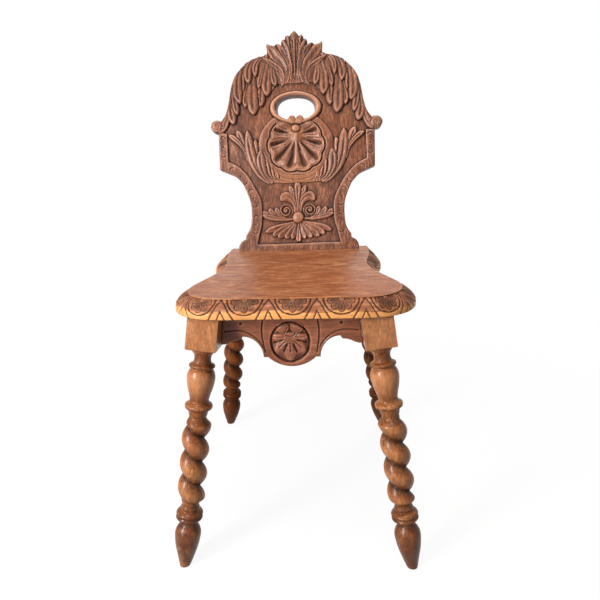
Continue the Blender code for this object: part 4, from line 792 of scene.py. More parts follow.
def shellHeight(u, v, field):
    around = np.arctan2(u, shell["level"] - v) / math.pi
    gap = np.hypot(u, v - shell["level"])
    rim = np.interp(around, *zip(*shell["scallop"])) * shell["radius"]
    far = np.hypot(u, v - shell["hinge"]) / shell["radius"]
    # A bowl under its rim, broad ribs swelling between the gouges, and a hub from the hinge downwards
    dish = shell["floor"] - shell["bowl"] * (1 - smooth(0.66, 1.0, gap / rim)) * smooth(-0.1, 0.5, far)
    cut = np.zeros(u.shape)
    for gouge in shell["gouges"]:
        cut = np.maximum(cut, gougeDepth(u, v, gouge))
    angle = np.arctan2(u, shell["hinge"] - v) / math.pi
    wave = np.interp(angle, shell["ribs"], np.arange(len(shell["ribs"])) / 2)
    rib = (0.5 + 0.5 * np.cos(math.tau * wave)) ** 0.8
    dish = dish + smooth(0.1, 0.5, far) * shell["ribRise"] * rib - shell["gougeDepth"] * cut
    for line in shell["ripples"]:
        dish = cutLine(dish, line, *shell["rippleCut"], u, v)
    hubWidth = 7.0 + 0.06 * np.abs(v - shell["hinge"])
    hub = shell["hubRise"] * np.exp(-(u / hubWidth) ** 2) * smooth(*shell["hubRun"], v)
    field = np.where(gap < rim - shell["rim"] / 2, dish + hub, field)
    lip = np.abs(gap - rim + 0.5) / (shell["rim"] / 2)
    field = np.where(lip < 1, 0.6 - 2.6 * lip ** 2.4, field)
    moat = np.abs(gap - rim - shell["moatGap"]) / shell["moatHalf"]
    return np.where(v < shell["moatTop"], scooped(field, moat, shell["moatDepth"]), field)


def ringHeight(u, v, field):
    # The raised ring round the hand hole, and its two volutes
    off = (holeShare(u, v) - 1) * (holeOval["across"] + holeOval["up"]) / 2
    half = holeOval["ringWidth"] / 2
    ring = np.abs(off - half) / half
    field = scooped(field, np.abs(off - 2 * half - 1.2) / 1.6, 1.6)
    swell = holeOval["ringTop"] - holeOval["ringFall"] * ring ** 2.4
    field = np.where(ring < 1, np.maximum(np.minimum(field, -3), swell), field)
    volute = (holeOval["voluteAcross"], holeOval["voluteLevel"])
    gap, turn = polarAt(u, v, *volute)
    lift = domeHeight(u, v, *volute, holeOval["voluteRadius"] + 0.6, holeOval["voluteRise"], 3.0)
    groove = holeOval["voluteGroove"] * spiralLine(gap, turn, holeOval["volutePitch"], 0, 0.12)
    field = raised(field, 0, np.where((lift > 0) & (gap < 7), lift - groove, lift))
    # The bud under the ring, with a shadowed cut below it
    cutLevel, cutWide, cutHigh, cutDepth = holeOval["budCut"]
    under = np.hypot(u / cutWide, (v - cutLevel) / cutHigh)
    field = np.where((under < 1) & (v < cutLevel), field - cutDepth * (1 - under ** 4), field)
    budLevel, budWide, budHigh, budRise = holeOval["bud"]
    bud = np.hypot(u / budWide, (v - budLevel) / budHigh)
    return np.where(bud < 1, -3.2 + budRise * np.sqrt(np.maximum(1 - bud ** 2.4, 0)), field)


def flowerHeight(u, v, field):
    # The two curls of the flower and its button
    cu = flower["curlAcross"]
    cv = flower["curlLevel"]
    radius = flower["curlRadius"]
    gap = np.hypot((u - cu) / 1.06, v - cv)
    coil = spiralLine(gap, polarAt(u, v, cu, cv)[1], flower["curlPitch"], flower["curlStart"], 0.20)
    ring = flower["curlRise"] * coil * smooth(radius, radius - 1.8, gap)
    eye = flower["eyeRise"] * np.sqrt(np.maximum(1 - (gap / flower["eyeRadius"]) ** 2, 0))
    curl = np.maximum(np.minimum(field, flower["moat"]), flower["curlFloor"] + np.maximum(ring, eye))
    field = np.where(gap < radius, curl, field)
    button = domeHeight(u, v, 0, flower["buttonLevel"], flower["buttonRadius"], flower["buttonRise"])
    return raised(field, flower["buttonBase"], button)


def boardHeight(u, v):
    u = u + 1.1 * wander(u, v, 60, 1.0) + 0.35 * wander(u, v, 14, 9.0)
    v = v + 1.0 * wander(u, v, 55, 2.0) + 0.35 * wander(u, v, 14, 4.0)
    across = np.abs(u)
    field = board["ground"] + 0.2 * wander(u, v, 9, 3.0)
    # The raised border with its foot rail and shoulders
    edgeU, edgeV = zip(*curveThrough(board["borderEdge"][:-2], 6), *board["borderEdge"][-2:])
    slab = np.where(v > edgeV[-1], 0, smooth(-0.7, 0.5, across - np.interp(v, edgeV, edgeU)))
    slab = np.maximum(slab, smooth(*board["footRail"], v))
    field = field + (board["border"] - field) * slab
    shoulderGap = gapTo(curveThrough(board["shoulder"], 3), across, v)
    rim = smooth(*board["shoulderRim"], shoulderGap) * (v > board["shoulderLevel"])
    field = field + (board["border"] - field) * rim
    # The ground of the crest, and the masses that the leaves are cut from
    crestLevel = board["crestLevel"]
    endU, endV = board["shoulder"][-1]
    slope = (endU - board["crestRoot"]) / (endV - crestLevel)
    inCrest = (v > crestLevel) & (across < board["crestRoot"] + (v - crestLevel) * slope)
    field = np.where(inCrest, board["crest"], field)
    field = np.where(insideOf(foliageMass, across, v), np.maximum(field, board["foliage"]), field)
    band = curveThrough(board["band"], 4)
    bandU, bandV = zip(*band)
    inBand = (across < np.interp(v, bandV, bandU)) & (v > bandV[0]) & (v < bandV[-1])
    short = 1 - np.clip(gapTo(band, across, v) / board["bandEase"], 0, 1)
    rounded = np.sqrt(np.maximum(1 - short ** 2, 0))
    field = np.where(inBand, np.maximum(field, board["bandBase"] + board["bandRise"] * rounded), field)
    field = np.where(insideOf(sprayMass, across, v), np.maximum(field, board["spray"]), field)
    for level in board["strapLevels"]:
        line = arcLine(0, level + board["strapArc"][1], *board["strapArc"], 12)
        field = cutLine(field, line, *board["strapCut"], across, v)
    for family, leaves, under, gap in carvedLayers:
        for leaf in leaves:
            lift = leafHeight(leaf, across, v, leafCuts[family])
            if under == "crest":
                lift = np.where(v > crestLevel - 7 * smooth(14, 34, across), lift, -1)
            field = np.where(lift > 0, board[under] + gap + lift, field)
    for line in board["crestCuts"]:
        field = cutLine(field, line, *board["crestCut"], across, v)
    field = flowerHeight(across, v, ringHeight(across, v, shellHeight(across, v, field)))
    # The rolled strip from the shoulder to the ear, and the ear's volute
    strap = leafHeight(board["earStrap"], across, v, {**leafCuts["crest"], "height": board["strapRise"]})
    field = raised(field, board["strapBase"], strap)
    earGap, earTurn = polarAt(across, v, board["reach"] - board["earRadius"], board["earLevel"])
    dome = np.sqrt(np.maximum(1 - (earGap / (board["earRadius"] + 0.6)) ** 2.6, 0))
    groove = board["earGroove"] * spiralLine(earGap, earTurn, board["earPitch"], 0.3, 0.10)
    groove = groove * smooth(12, 10, earGap)
    ear = board["earBase"] + board["earDome"] * dome - groove
    return np.where(earGap < board["earRadius"] + 0.4, ear, field)


def boardSurface(u, v):
    # The carving, then the arcs and dots cut in the border
    field = boardHeight(u, v)
    across = np.abs(u)
    shift = board["arcShift"]
    radius = board["arcRadius"]
    for cu, cv, way in board["arcs"]:
        a = math.radians(way)
        line = arcLine(cu - shift * math.cos(a), cv - shift * math.sin(a), radius, radius,
                       way - board["arcHalf"], way + board["arcHalf"], 9)
        field = cutLine(field, line, *board["arcCut"], across, v)
    for cu, cv in board["dots"]:
        field = scooped(field, np.hypot(across - cu, v - cv) / board["dotRadius"], board["dotDepth"])
    return field


def boardWarm(u, v):
    # Ring, volutes, strap and button, where hands have rubbed the wood golden
    oval = holeShare(u, v)
    ring = smooth(1.42, 1.32, oval) * smooth(0.9, 1.0, oval)
    hub = smooth(20, 14, np.hypot(u, v - 250))
    strap = smooth(200, 165, v) * smooth(140, 144, v) * smooth(62, 40, np.abs(u))
    button = smooth(13, 10, np.hypot(u, v - flower["buttonLevel"]))
    return np.maximum.reduce([ring * 0.7, hub * 0.6, strap * 0.5, button * 0.5])


def boardHighlightAndWear(u, v):
    # Less painted highlight and wear over the leaves above the hole, which darkens the top of the board, and
    # a little less over the flower
    return 1 - 0.42 * smooth(258, 300, v) * smooth(1.36, 1.50, holeShare(u, v)) - 0.2 * smooth(142, 132, v)


def boardEase(u, v):
    ear = np.hypot(np.abs(u) - (board["reach"] - board["earRadius"]), v - board["earLevel"])
    base = np.where(ear < board["earRadius"] + 4, 5.0, 1.3 + 0.9 * smooth(405, 425, v))
    return np.where(holeShare(u, v) < 1.35, 2.4, base)


def boardToWorld(point):
    lean = math.radians(board["lean"])
    across, depth, up = point
    y = depth * math.cos(lean) + up * math.sin(lean) - board["frontFromRear"]
    z = up * math.cos(lean) - depth * math.sin(lean)
    return (across * mm, seatRear + y * mm, max(seatTop + z * mm, seatTop + seam))


def boardBackInset(loop, inset, share):
    # The hand hole narrows towards the back
    rows = insetLoop(loop, inset)
    if len(loop) != holeOval["points"]:
        return rows
    middle = np.array((0, holeOval["level"]))
    return middle + (rows - middle) * (1 - (1 - holeOval["backShare"]) * share)


backBoard = carvedPanel("backBoard", {
    "cell": 1.15, "outline": boardOutline(), "holes": [holeLoop()], "heightAt": boardSurface,
    "easeAt": boardEase, "thickness": board["thickness"], "backEase": 1.2, "backInset": boardBackInset,
    "warmAt": boardWarm, "highlightAndWearAt": boardHighlightAndWear, "toWorld": boardToWorld,
}, woodBoard)
standFor(backBoard, "board_oak", "back_board")
print("back board carved:", len(backBoard.data.polygons), "faces")


# The front apron, in millimetres across and down from the seat's underside

apron = {
    "setback": 37.5, "thickness": 18.0, "drop": 95.6, "lobe": 39.0, "tip": (46.6, 79.0), "archTop": 42.6,
    "archEnd": 79.0, "step": (82.0, 47.6), "topCorner": (108.0, -0.3),
    "heel": ((90, 48.5), (96, 50.5), (102, 53.5), (108, 55.5), (115.6, 56)),
    # Middle, level and radii of the medallion, a touch off the middle as on the real one, and its curls
    "medallion": (-2, -53, 31.5, 34.5), "floor": -1.6, "petalRise": 3.8, "hubLevel": -44,
    "curls": (11.5, -27.5), "curlRadius": 9.6, "curlRise": 3.8, "curlCut": (2.0, 1.4),
    "lipArcs": ((10, 9.5, 2.2, 1.8), (13.5, 13, 1.6, 1.2)), "lipLevel": -33,
    "rimCut": (4.4, 3.4), "bandCut": (3.0, 2.4), "archCut": (3.0, 2.2),
    "bandLine": ((35, 0), (40.5, -6), (44.5, -17), (46.2, -31), (45.6, -47), (43.8, -60), (42, -70)),
    "archLine": ((108, -33), (92, -31.5), (78, -32.6), (64, -39.5), (52, -51), (46, -62)),
    "nail": (81, -20), "nailRadius": 2.6, "nailDepth": 4.0,
}
# Cuts between the petals of the medallion and along them: their ways in degrees, radii, width and depth
petalCuts = (((-92, -46, 0, 46, 92), (10, 25), 3.0, 2.0), ((-69, -23, 23, 69), (13, 20, 28), 3.8, 2.2))


def apronOutline():
    tipU, tipV = apron["tip"]
    cornerU, cornerV = apron["topCorner"]
    rise = apron["drop"] - tipV
    bow = (apron["lobe"] ** 2 + rise ** 2) / (2 * rise)
    turn = math.asin(apron["lobe"] / bow)
    half = [(bow * math.sin(a), bow * (1 - math.cos(a)) - apron["drop"]) for a in np.linspace(0, turn, 40)]
    half += evenSteps([half[-1], (tipU, -tipV)], 0.9)[1:]
    for a in np.linspace(0, math.pi / 2, 50)[1:]:
        half.append((tipU + (apron["archEnd"] - tipU) * (1 - math.cos(a)),
                     -tipV + (tipV - apron["archTop"]) * math.sin(a)))
    tail = [half[-1]] + [(a, -b) for a, b in (apron["step"], *apron["heel"])]
    half += evenSteps(tail, 1.0)[1:]
    half += evenSteps([half[-1], (cornerU, cornerV)], 1.0)[1:]
    top = evenSteps([(cornerU, cornerV), (-cornerU, cornerV)], 1.2)[1:-1]
    return half + top + [(-a, b) for a, b in reversed(half) if a > 0.01]


def apronHeight(u, v):
    field = 0.12 * wander(u, v, 12, 5.0)
    middle, level, wide, high = apron["medallion"]
    hubLevel = apron["hubLevel"]
    across = u - middle
    oval = np.hypot(across / wide, (v - level) / high)
    off = (oval - 1) * (wide + high) / 2
    field = np.where(off < 0, apron["floor"], field)
    lobes = np.cos(np.arctan2(across, hubLevel - v) * 360 / 46)
    far = np.hypot(across, v - hubLevel)
    petals = apron["petalRise"] * smooth(0.99 + 0.07 * lobes, 0.66 + 0.1 * lobes, oval)
    petals = apron["floor"] - 1 + petals + 0.9 * lobes * smooth(4, 18, far)
    field = np.where((off < -1.5) & (v < -36), petals, field)
    for ways, radii, width, depth in petalCuts:
        for a in np.radians(ways):
            line = [(math.sin(a) * r + middle, hubLevel - math.cos(a) * r) for r in radii]
            field = cutLine(field, line, width, depth, u, v)
    curlU, curlV = apron["curls"]
    for side in (-1, 1):
        cu = side * curlU + middle
        dome = domeHeight(u / 1.2, v, cu / 1.2, curlV, apron["curlRadius"], apron["curlRise"], 3.0)
        field = np.where(dome > 0, apron["floor"] + dome, field)
        line = arcLine(cu, curlV, 7.6, 5.6, 90, 90 + side * 250, 16)
        field = cutLine(field, line, *apron["curlCut"], u, v)
    for ru, rv, width, depth in apron["lipArcs"]:
        line = arcLine(middle, apron["lipLevel"], ru, rv, 200, 340, 12)
        field = cutLine(field, line, width, depth, u, v)
    field = cutLine(field, arcLine(*apron["medallion"], 0, 360, 60), *apron["rimCut"], u, v)
    bandLine = curveThrough(apron["bandLine"], 3)
    archLine = curveThrough(apron["archLine"], 5)
    for side in (-1, 1):
        field = cutLine(field, [(side * a - 1.0, b) for a, b in bandLine], *apron["bandCut"], u, v)
        field = cutLine(field, [(side * a, b) for a, b in archLine], *apron["archCut"], u, v)
        nailGap = np.hypot(u - side * apron["nail"][0], v - apron["nail"][1])
        field = np.where(nailGap < apron["nailRadius"], -apron["nailDepth"], field)
    return field


def apronToWorld(point):
    across, depth, up = point
    return (across * mm, seatBox[0][1] + (apron["setback"] + depth) * mm, seatUnder + up * mm)


frontApron = carvedPanel("frontApron", {
    "cell": 0.8, "outline": apronOutline(), "holes": [], "heightAt": apronHeight,
    "easeAt": lambda u, v: np.where(v > -6, 0.05, 1.0), "thickness": apron["thickness"], "backEase": 0.6,
    "backInset": lambda loop, inset, share: insetLoop(loop, inset),
    "warmAt": lambda u, v: np.zeros(u.shape), "highlightAndWearAt": lambda u, v: np.ones(u.shape),
    "toWorld": apronToWorld,
}, woodApronShaded)
standFor(frontApron, "leg_oak", "front_apron")
print("apron carved:", len(frontApron.data.polygons), "faces")


# Legs: turned foot and vase with a left-handed twist between them, under a square block

leg = {
    "topAcross": 134, "topFront": 160, "topRear": 150, "splayAcross": 61, "splayFront": 69, "splayRear": 78,
    "block": 50, "turned": 387.07, "radius": 23.5, "twistLow": 0.296, "twistHigh": 0.700,
    "pitch": 42.7, "grooveRadius": 13.0, "neckShare": 0.595, "runOut": 14.0, "columns": 72, "step": 0.9,
    "collars": ((0.735, 0.748), (0.915, 0.934), (0.222, 0.266)), "belly": (0.85, 0.07), "cornerPower": 40.0,
    "starts": {"frontLeft": 0.82, "frontRight": 0.5, "rearLeft": 0.5, "rearRight": 0.0},
    "foot": ((0.000, 0.400), (0.046, 0.610), (0.098, 0.830), (0.152, 0.936), (0.180, 0.834), (0.204, 0.579),
             (0.216, 0.596), (0.227, 0.872), (0.235, 0.957), (0.244, 0.877), (0.253, 0.957), (0.263, 0.851),
             (0.271, 0.630), (0.281, 0.672), (0.296, 0.595)),
    "vase": ((0.700, 0.595), (0.711, 0.647), (0.732, 0.749), (0.740, 0.936), (0.755, 0.953), (0.765, 0.740),
             (0.776, 0.668), (0.799, 0.740), (0.838, 0.911), (0.876, 0.983), (0.902, 0.877), (0.915, 0.736),
             (0.920, 0.872), (0.930, 0.877), (0.938, 0.655), (0.956, 0.570), (0.974, 0.621), (0.987, 0.766),
             (1.000, 0.783)),
    # From the turning out to the square block: how far inside its sides, and how far above the turning
    "shoulder": ((8, 0.2), (2.6, 0.2), (1.2, 0.6), (0.4, 1.4), (0, 2.6)),
}


def legProfile(baseHeight):
    # One row of the leg after another: radius, how far it is cut level, height along the axis, then the marks
    # for the square part, the painted shade with dirt, the dark collars and the painted highlight with wear
    foot, vase = (list(zip(*curveThrough(leg[part], 6))) for part in ("foot", "vase"))
    turned = leg["turned"]
    half = leg["block"] / 2
    rows = [(0, 1, 0, 0, 0, 0, 0)]
    for i, height in enumerate(np.append(np.arange(0, turned, leg["step"]), turned)):
        share = height / turned
        radius = np.interp(share, *(foot if share < 0.5 else vase))
        collar = max(min(max(1.4 - abs(share - (low + high) / 2) * 2.8 / (high - low), 0), 1)
                     for low, high in leg["collars"])
        isNeck = share > 0.17 and not 0.3 < share < 0.67
        # Darker collars and painted shade in the thin necks; a painted highlight on the vase's belly
        shadeAndDirt = collar * 0.5 + (max(1 - radius / 0.78, 0) * 1.6 if isNeck else 0)
        highlightAndWear = 0.45 * max(0, 1 - ((share - leg["belly"][0]) / leg["belly"][1]) ** 2)
        rows.append((radius * leg["radius"], max(1 - i / 12, 0), height, 0, shadeAndDirt, collar, highlightAndWear))
    # The shoulder and the square block get a painted highlight; the shoulder's rows nearest the turning and
    # the block's top under the seat get painted shade
    for inset, rise in leg["shoulder"]:
        rows.append((half - inset, 0, turned + rise, 1, 0.5 if inset > 2 else 0.0, 0, 0.4))
    start = rows[-1][2]
    for share in (0.25, 0.5, 0.75, 0.95, 1.0):
        shadeAndDirt = 0.35 * max(0, share - 0.9) * 10
        rows.append((half, share, start + (baseHeight - start) * share, 1, shadeAndDirt, 0, 0.4))
    return rows + [(0, 1, baseHeight, 1, 0.3, 0, 0)]


def makeLegTree():
    # Geometry nodes: the profile is spun round, twisted to the left between two heights, squared at the top
    tree = bpy.data.node_groups.new("twistedLeg", "GeometryNodeTree")
    tree.is_modifier = True
    tree.interface.new_socket(name="Profile", in_out="INPUT", socket_type="NodeSocketGeometry")
    sockets = {}
    lengths = ("Radius", "Groove Radius", "Neck Radius", "Pitch", "Start", "Twist Low", "Twist High",
               "Run Out", "Slope Across", "Slope Along", "Corner Power")
    for label in ("Columns", *lengths, "Wood"):
        kind = {"Columns": "Int", "Wood": "Material"}.get(label, "Float")
        socket = tree.interface.new_socket(name=label, in_out="INPUT", socket_type="NodeSocket" + kind)
        sockets[label] = socket.identifier
    tree.interface.new_socket(name="Leg", in_out="OUTPUT", socket_type="NodeSocketGeometry")
    plus, minus, times, over, power, least, magnitude = (
        partial(mathNode, tree, kind)
        for kind in ("ADD", "SUBTRACT", "MULTIPLY", "DIVIDE", "POWER", "MINIMUM", "ABSOLUTE"))
    sineOf, cosineOf, isAbove = (partial(mathNode, tree, kind) for kind in ("SINE", "COSINE", "GREATER_THAN"))
    given = addNode(tree, "NodeGroupInput").outputs
    profile = given["Profile"]
    rows = addNode(tree, "GeometryNodeAttributeDomainSize", {0: profile}, component="MESH").outputs[0]
    grid = addNode(tree, "GeometryNodeMeshGrid", {"Size X": 1.0, "Size Y": 1.0, "Vertices Y": rows,
                                                  "Vertices X": plus(given["Columns"], 1.0)}).outputs[0]
    index = addNode(tree, "GeometryNodeInputIndex").outputs[0]
    row = mathNode(tree, "MODULO", index, rows)
    column = mathNode(tree, "FLOOR", over(index, rows))

    def sample(kind, field):
        return addNode(tree, "GeometryNodeSampleIndex", {0: profile, 1: field, 2: row}, data_type=kind,
                       domain="POINT").outputs[0]

    def mark(label):
        return sample("FLOAT", addNode(tree, "GeometryNodeInputNamedAttribute", {"Name": label},
                                       data_type="FLOAT").outputs[0])

    position = addNode(tree, "GeometryNodeInputPosition").outputs[0]
    profilePoint = sample("FLOAT_VECTOR", position)
    plain, level, height = addNode(tree, "ShaderNodeSeparateXYZ", {0: profilePoint}).outputs
    around = over(column, given["Columns"])
    angle = times(around, math.tau)
    cosine = cosineOf(angle)
    sine = sineOf(angle)
    # The twist swells between the groove and the full radius, and dies away at both its ends
    above = minus(height, given["Twist Low"])
    below = minus(given["Twist High"], height)
    inTwist = times(isAbove(above), isAbove(below))
    nearEnd = over(least(above, below), given["Run Out"])
    run = addNode(tree, "ShaderNodeMapRange", {"Value": nearEnd}, interpolation_type="SMOOTHSTEP").outputs[0]
    turns = minus(plus(over(above, given["Pitch"]), around), given["Start"])
    swell = power(magnitude(sineOf(times(turns, math.pi))), 0.85)
    coil = plus(given["Groove Radius"], times(minus(given["Radius"], given["Groove Radius"]), swell))
    twisted = plus(given["Neck Radius"], times(minus(coil, given["Neck Radius"]), run))
    turnedRadius = plus(plain, times(minus(twisted, plain), inTwist))
    # The block: the circle is pushed out to a square with barely eased corners
    square = mark("square")
    sharpness = given["Corner Power"]
    total = plus(power(magnitude(cosine), sharpness), power(magnitude(sine), sharpness))
    corner = power(total, over(-1.0, sharpness))
    reach = times(turnedRadius, plus(times(minus(corner, 1.0), square), 1.0))
    x = times(reach, cosine)
    y = times(reach, sine)
    slope = plus(times(x, given["Slope Across"]), times(y, given["Slope Along"]))
    z = minus(height, times(slope, level))
    place = addNode(tree, "ShaderNodeCombineXYZ", {0: x, 1: y, 2: z}).outputs[0]
    shaped = addNode(tree, "GeometryNodeSetPosition", {"Geometry": grid, "Position": place}).outputs[0]
    # Marks for the material: painted shade, with dirt, in the grooves, necks and collars, and a painted
    # highlight, with wear, on what stands out, on the vase's belly and on the block
    hollow = times(power(times(times(minus(1.0, swell), run), inTwist), 1.3), 1.2)
    shadeAndGrime = plus(hollow, mark("shadeAndDirt"), True)
    proud = times(minus(over(reach, given["Radius"]), 0.9), 3.0, True)
    bare = minus(1.0, plus(mark("collar"), square, True))
    crest = plus(times(proud, bare), mark("highlightAndWear"), True)
    for label, field in (("shadeAndGrime", shadeAndGrime), ("crest", crest)):
        shaped = addNode(tree, "GeometryNodeStoreNamedAttribute",
                         {"Geometry": shaped, "Name": label, "Value": field},
                         data_type="FLOAT", domain="POINT").outputs[0]
    merged = addNode(tree, "GeometryNodeMergeByDistance", {"Geometry": shaped, "Distance": 0.01}).outputs[0]
    solid = addNode(tree, "GeometryNodeRealizeInstances", {0: merged}).outputs[0]
    finished = addNode(tree, "GeometryNodeSetMaterial", {"Geometry": solid, "Material": given["Wood"]})
    addNode(tree, "NodeGroupOutput", {0: finished.outputs[0]})
    return tree, sockets


legTree, legSockets = makeLegTree()


def makeLeg(name, side, rear):
    end = "Rear" if rear else "Front"
    way = 1 if rear else -1
    along = leg["top" + end]
    reach = leg["topAcross"] + leg["splayAcross"]
    top = Vector((side * leg["topAcross"] * mm, way * along * mm + seatShift, seatUnder))
    foot = Vector((side * reach * mm, way * (along + leg["splay" + end]) * mm + seatShift, 0))
    axis = (top - foot).normalized()
    across = (Vector((1, 0, 0)) - axis * axis.x).normalized()
    rearward = axis.cross(across)
    rows = legProfile(((seatUnder - seam) / mm) / axis.z)
    line = bpy.data.meshes.new(name + "Profile")
    line.from_pydata([row[:3] for row in rows], [(i, i + 1) for i in range(len(rows) - 1)], [])
    markPoints(line, dict(zip(("square", "shadeAndDirt", "collar", "highlightAndWear"), list(zip(*rows))[3:])))
    piece = placed(name + "Leg", line)
    turning = piece.modifiers.new("turning", "NODES")
    turning.node_group = legTree
    values = {
        "Columns": leg["columns"], "Radius": leg["radius"], "Groove Radius": leg["grooveRadius"],
        "Neck Radius": leg["neckShare"] * leg["radius"], "Pitch": leg["pitch"], "Start": leg["starts"][name],
        "Twist Low": leg["twistLow"] * leg["turned"], "Twist High": leg["twistHigh"] * leg["turned"],
        "Run Out": leg["runOut"], "Slope Across": across.z / axis.z, "Slope Along": rearward.z / axis.z,
        "Corner Power": leg["cornerPower"], "Wood": woodRearLegsShaded if rear else woodLegs,
    }
    for label, value in values.items():
        turning[legSockets[label]] = value
    depsgraph = bpy.context.evaluated_depsgraph_get()
    mesh = bpy.data.meshes.new_from_object(piece.evaluated_get(depsgraph), preserve_all_data_layers=True,
                                           depsgraph=depsgraph)
    piece.modifiers.clear()
    piece.data = mesh
    # From the leg's own axis, in millimetres, to its leaning place under the seat
    local = np.empty(len(mesh.vertices) * 3)
    mesh.vertices.foreach_get("co", local)
    world = np.array(foot) + local.reshape(-1, 3) * mm @ np.array((across, rearward, axis))
    mesh.vertices.foreach_set("co", np.clip(world, boxLow, boxHigh).ravel())
    closeMesh(mesh)
    mesh.set_sharp_from_angle(angle=math.radians(50))
    return piece


for sideName, side in (("left", -1), ("right", 1)):
    for endName, rear in (("front", False), ("rear", True)):
        piece = makeLeg(endName + sideName.capitalize(), side, rear)
        standFor(piece, "leg_oak", endName + "_" + sideName + "_leg")


# The seat board with its gouge-cut moulding, in millimetres

seat = {
    "thickness": 29.0, "moulding": 22.0, "drop": 19.0, "lip": 2.0, "bulge": 2.5, "step": 1.1,
    "period": 74.0, "shift": 1.0, "lean": 5.5, "leanStart": 49.4, "leanEnd": -118.5,
    # Rows down the edge: drop and inset of the four at its lip, then how many down the slope and below it
    "lipRows": ((0, 3.4), (0, 0.9), (0.25, 0.15), (2.0, 0.0)), "slopeRows": 24, "fasciaRows": 10,
    # The gouge cuts: the arch's radii and their mean, the lines at its side, the petals under it, then the
    # width and depth of each cut
    "arch": (27.5, 27.0, 27.2), "bigLine": ((0, 2), (-7, 12), (-20, 35)), "smallLine": ((0, 20), (-6.5, 35)),
    "petalTurn": 38, "petalReach": 21.5, "petalDip": 4.5, "fanHalf": 95, "hubRadius": 5.0, "hubLevel": 1.5,
    "archCut": (3.0, 2.4), "bigCut": (2.8, 2.2), "smallCut": (2.6, 2.0), "petalCut": (2.6, 2.0),
    "fanCut": (2.4, 1.9), "hubCut": (2.0, 1.5), "scoop": 1.3,
    # Half of the outline from front to rear: across, along, and the share of the moulding's width
    "edge": ((0, -197.5, .77), (60, -197.5, .77), (112, -197.5, .77), (146, -192, .85), (173, -177, .95),
             (190, -154, 1), (197, -126, 1), (194, -98, .97), (184, -72, .9), (172, -46, .8),
             (162, -20, .75), (156, 6, .78), (155, 30, .85), (160, 55, 1.0), (167, 80, 1.1),
             (171.5, 108, 1.12), (171, 135, 1.0), (168, 160, .8), (163, 180, .6), (155, 191, .3),
             (150, 197.5, .18), (75, 197.5, .18), (0, 197.5, .18)),
}


def mouldingCut(s, q):
    # Depth of the gouge cuts at a place along the edge and down the moulding
    half = seat["period"] / 2
    x = np.mod(s - seat["shift"] + half, seat["period"]) - half
    q = q + 0.5 * wander(s, q, 25, 6.0)
    ax = np.abs(x)
    archAcross, archDown, archMean = seat["arch"]
    arch = np.abs(np.hypot(x / archAcross, q / archDown) - 1) * archMean
    big, small = (gapTo([(half + a, b) for a, b in seat[line]], ax, q) for line in ("bigLine", "smallLine"))
    # Five gouged petals under the arch, each a scoop with a cut round it
    far = np.hypot(x, (q - seat["hubLevel"]) * 1.02)
    angle = np.degrees(np.arctan2(x, q - seat["hubLevel"]))
    turn = seat["petalTurn"] / 2
    petal = np.abs(np.mod(angle + turn, 2 * turn) - turn) / turn
    edge = seat["petalReach"] - seat["petalDip"] * petal ** 2
    inHalf = np.abs(angle) < seat["fanHalf"]
    inFan = (far < edge) & (far > seat["hubRadius"]) & inHalf
    scoop = seat["scoop"] * np.sin(math.pi * np.clip((far - 3) / 19, 0, 1)) * (1 - petal ** 2)
    petalCut = np.maximum(stroke((1 - petal) * far * 0.33, *seat["petalCut"]), scoop)
    return np.maximum.reduce([
        stroke(arch, *seat["archCut"]), stroke(big, *seat["bigCut"]), stroke(small, *seat["smallCut"]),
        np.where(inFan, petalCut, 0), stroke(np.abs(far - edge), *seat["fanCut"]) * inHalf,
        stroke(np.abs(far - seat["hubRadius"]), *seat["hubCut"]),
    ])


def seatLoop():
    # The whole outline with its outward ways, and the distance of each point from the middle of the front
    right = evenSteps(curveThrough(seat["edge"][:-2], 8) + list(seat["edge"][-2:]), seat["step"])
    loop = np.array(right + [(-x, y, w) for x, y, w in right[-2:0:-1]])
    loop[:, 0] += seat["lean"] * smooth(seat["leanStart"], seat["leanEnd"], loop[:, 1])
    line = loop[:, :2]
    after = np.roll(line, -1, axis=0)
    way = after - np.roll(line, 1, axis=0)
    way /= np.hypot(way[:, 0], way[:, 1])[:, None]
    steps = np.hypot(*(after - line).T)
    s = np.concatenate(([0], np.cumsum(steps)[:-1]))
    s = np.where(s > s[-1] / 2, s - (s[-1] + steps[-1]), s)
    return line, loop[:, 2], np.stack((way[:, 1], -way[:, 0]), axis=1), s


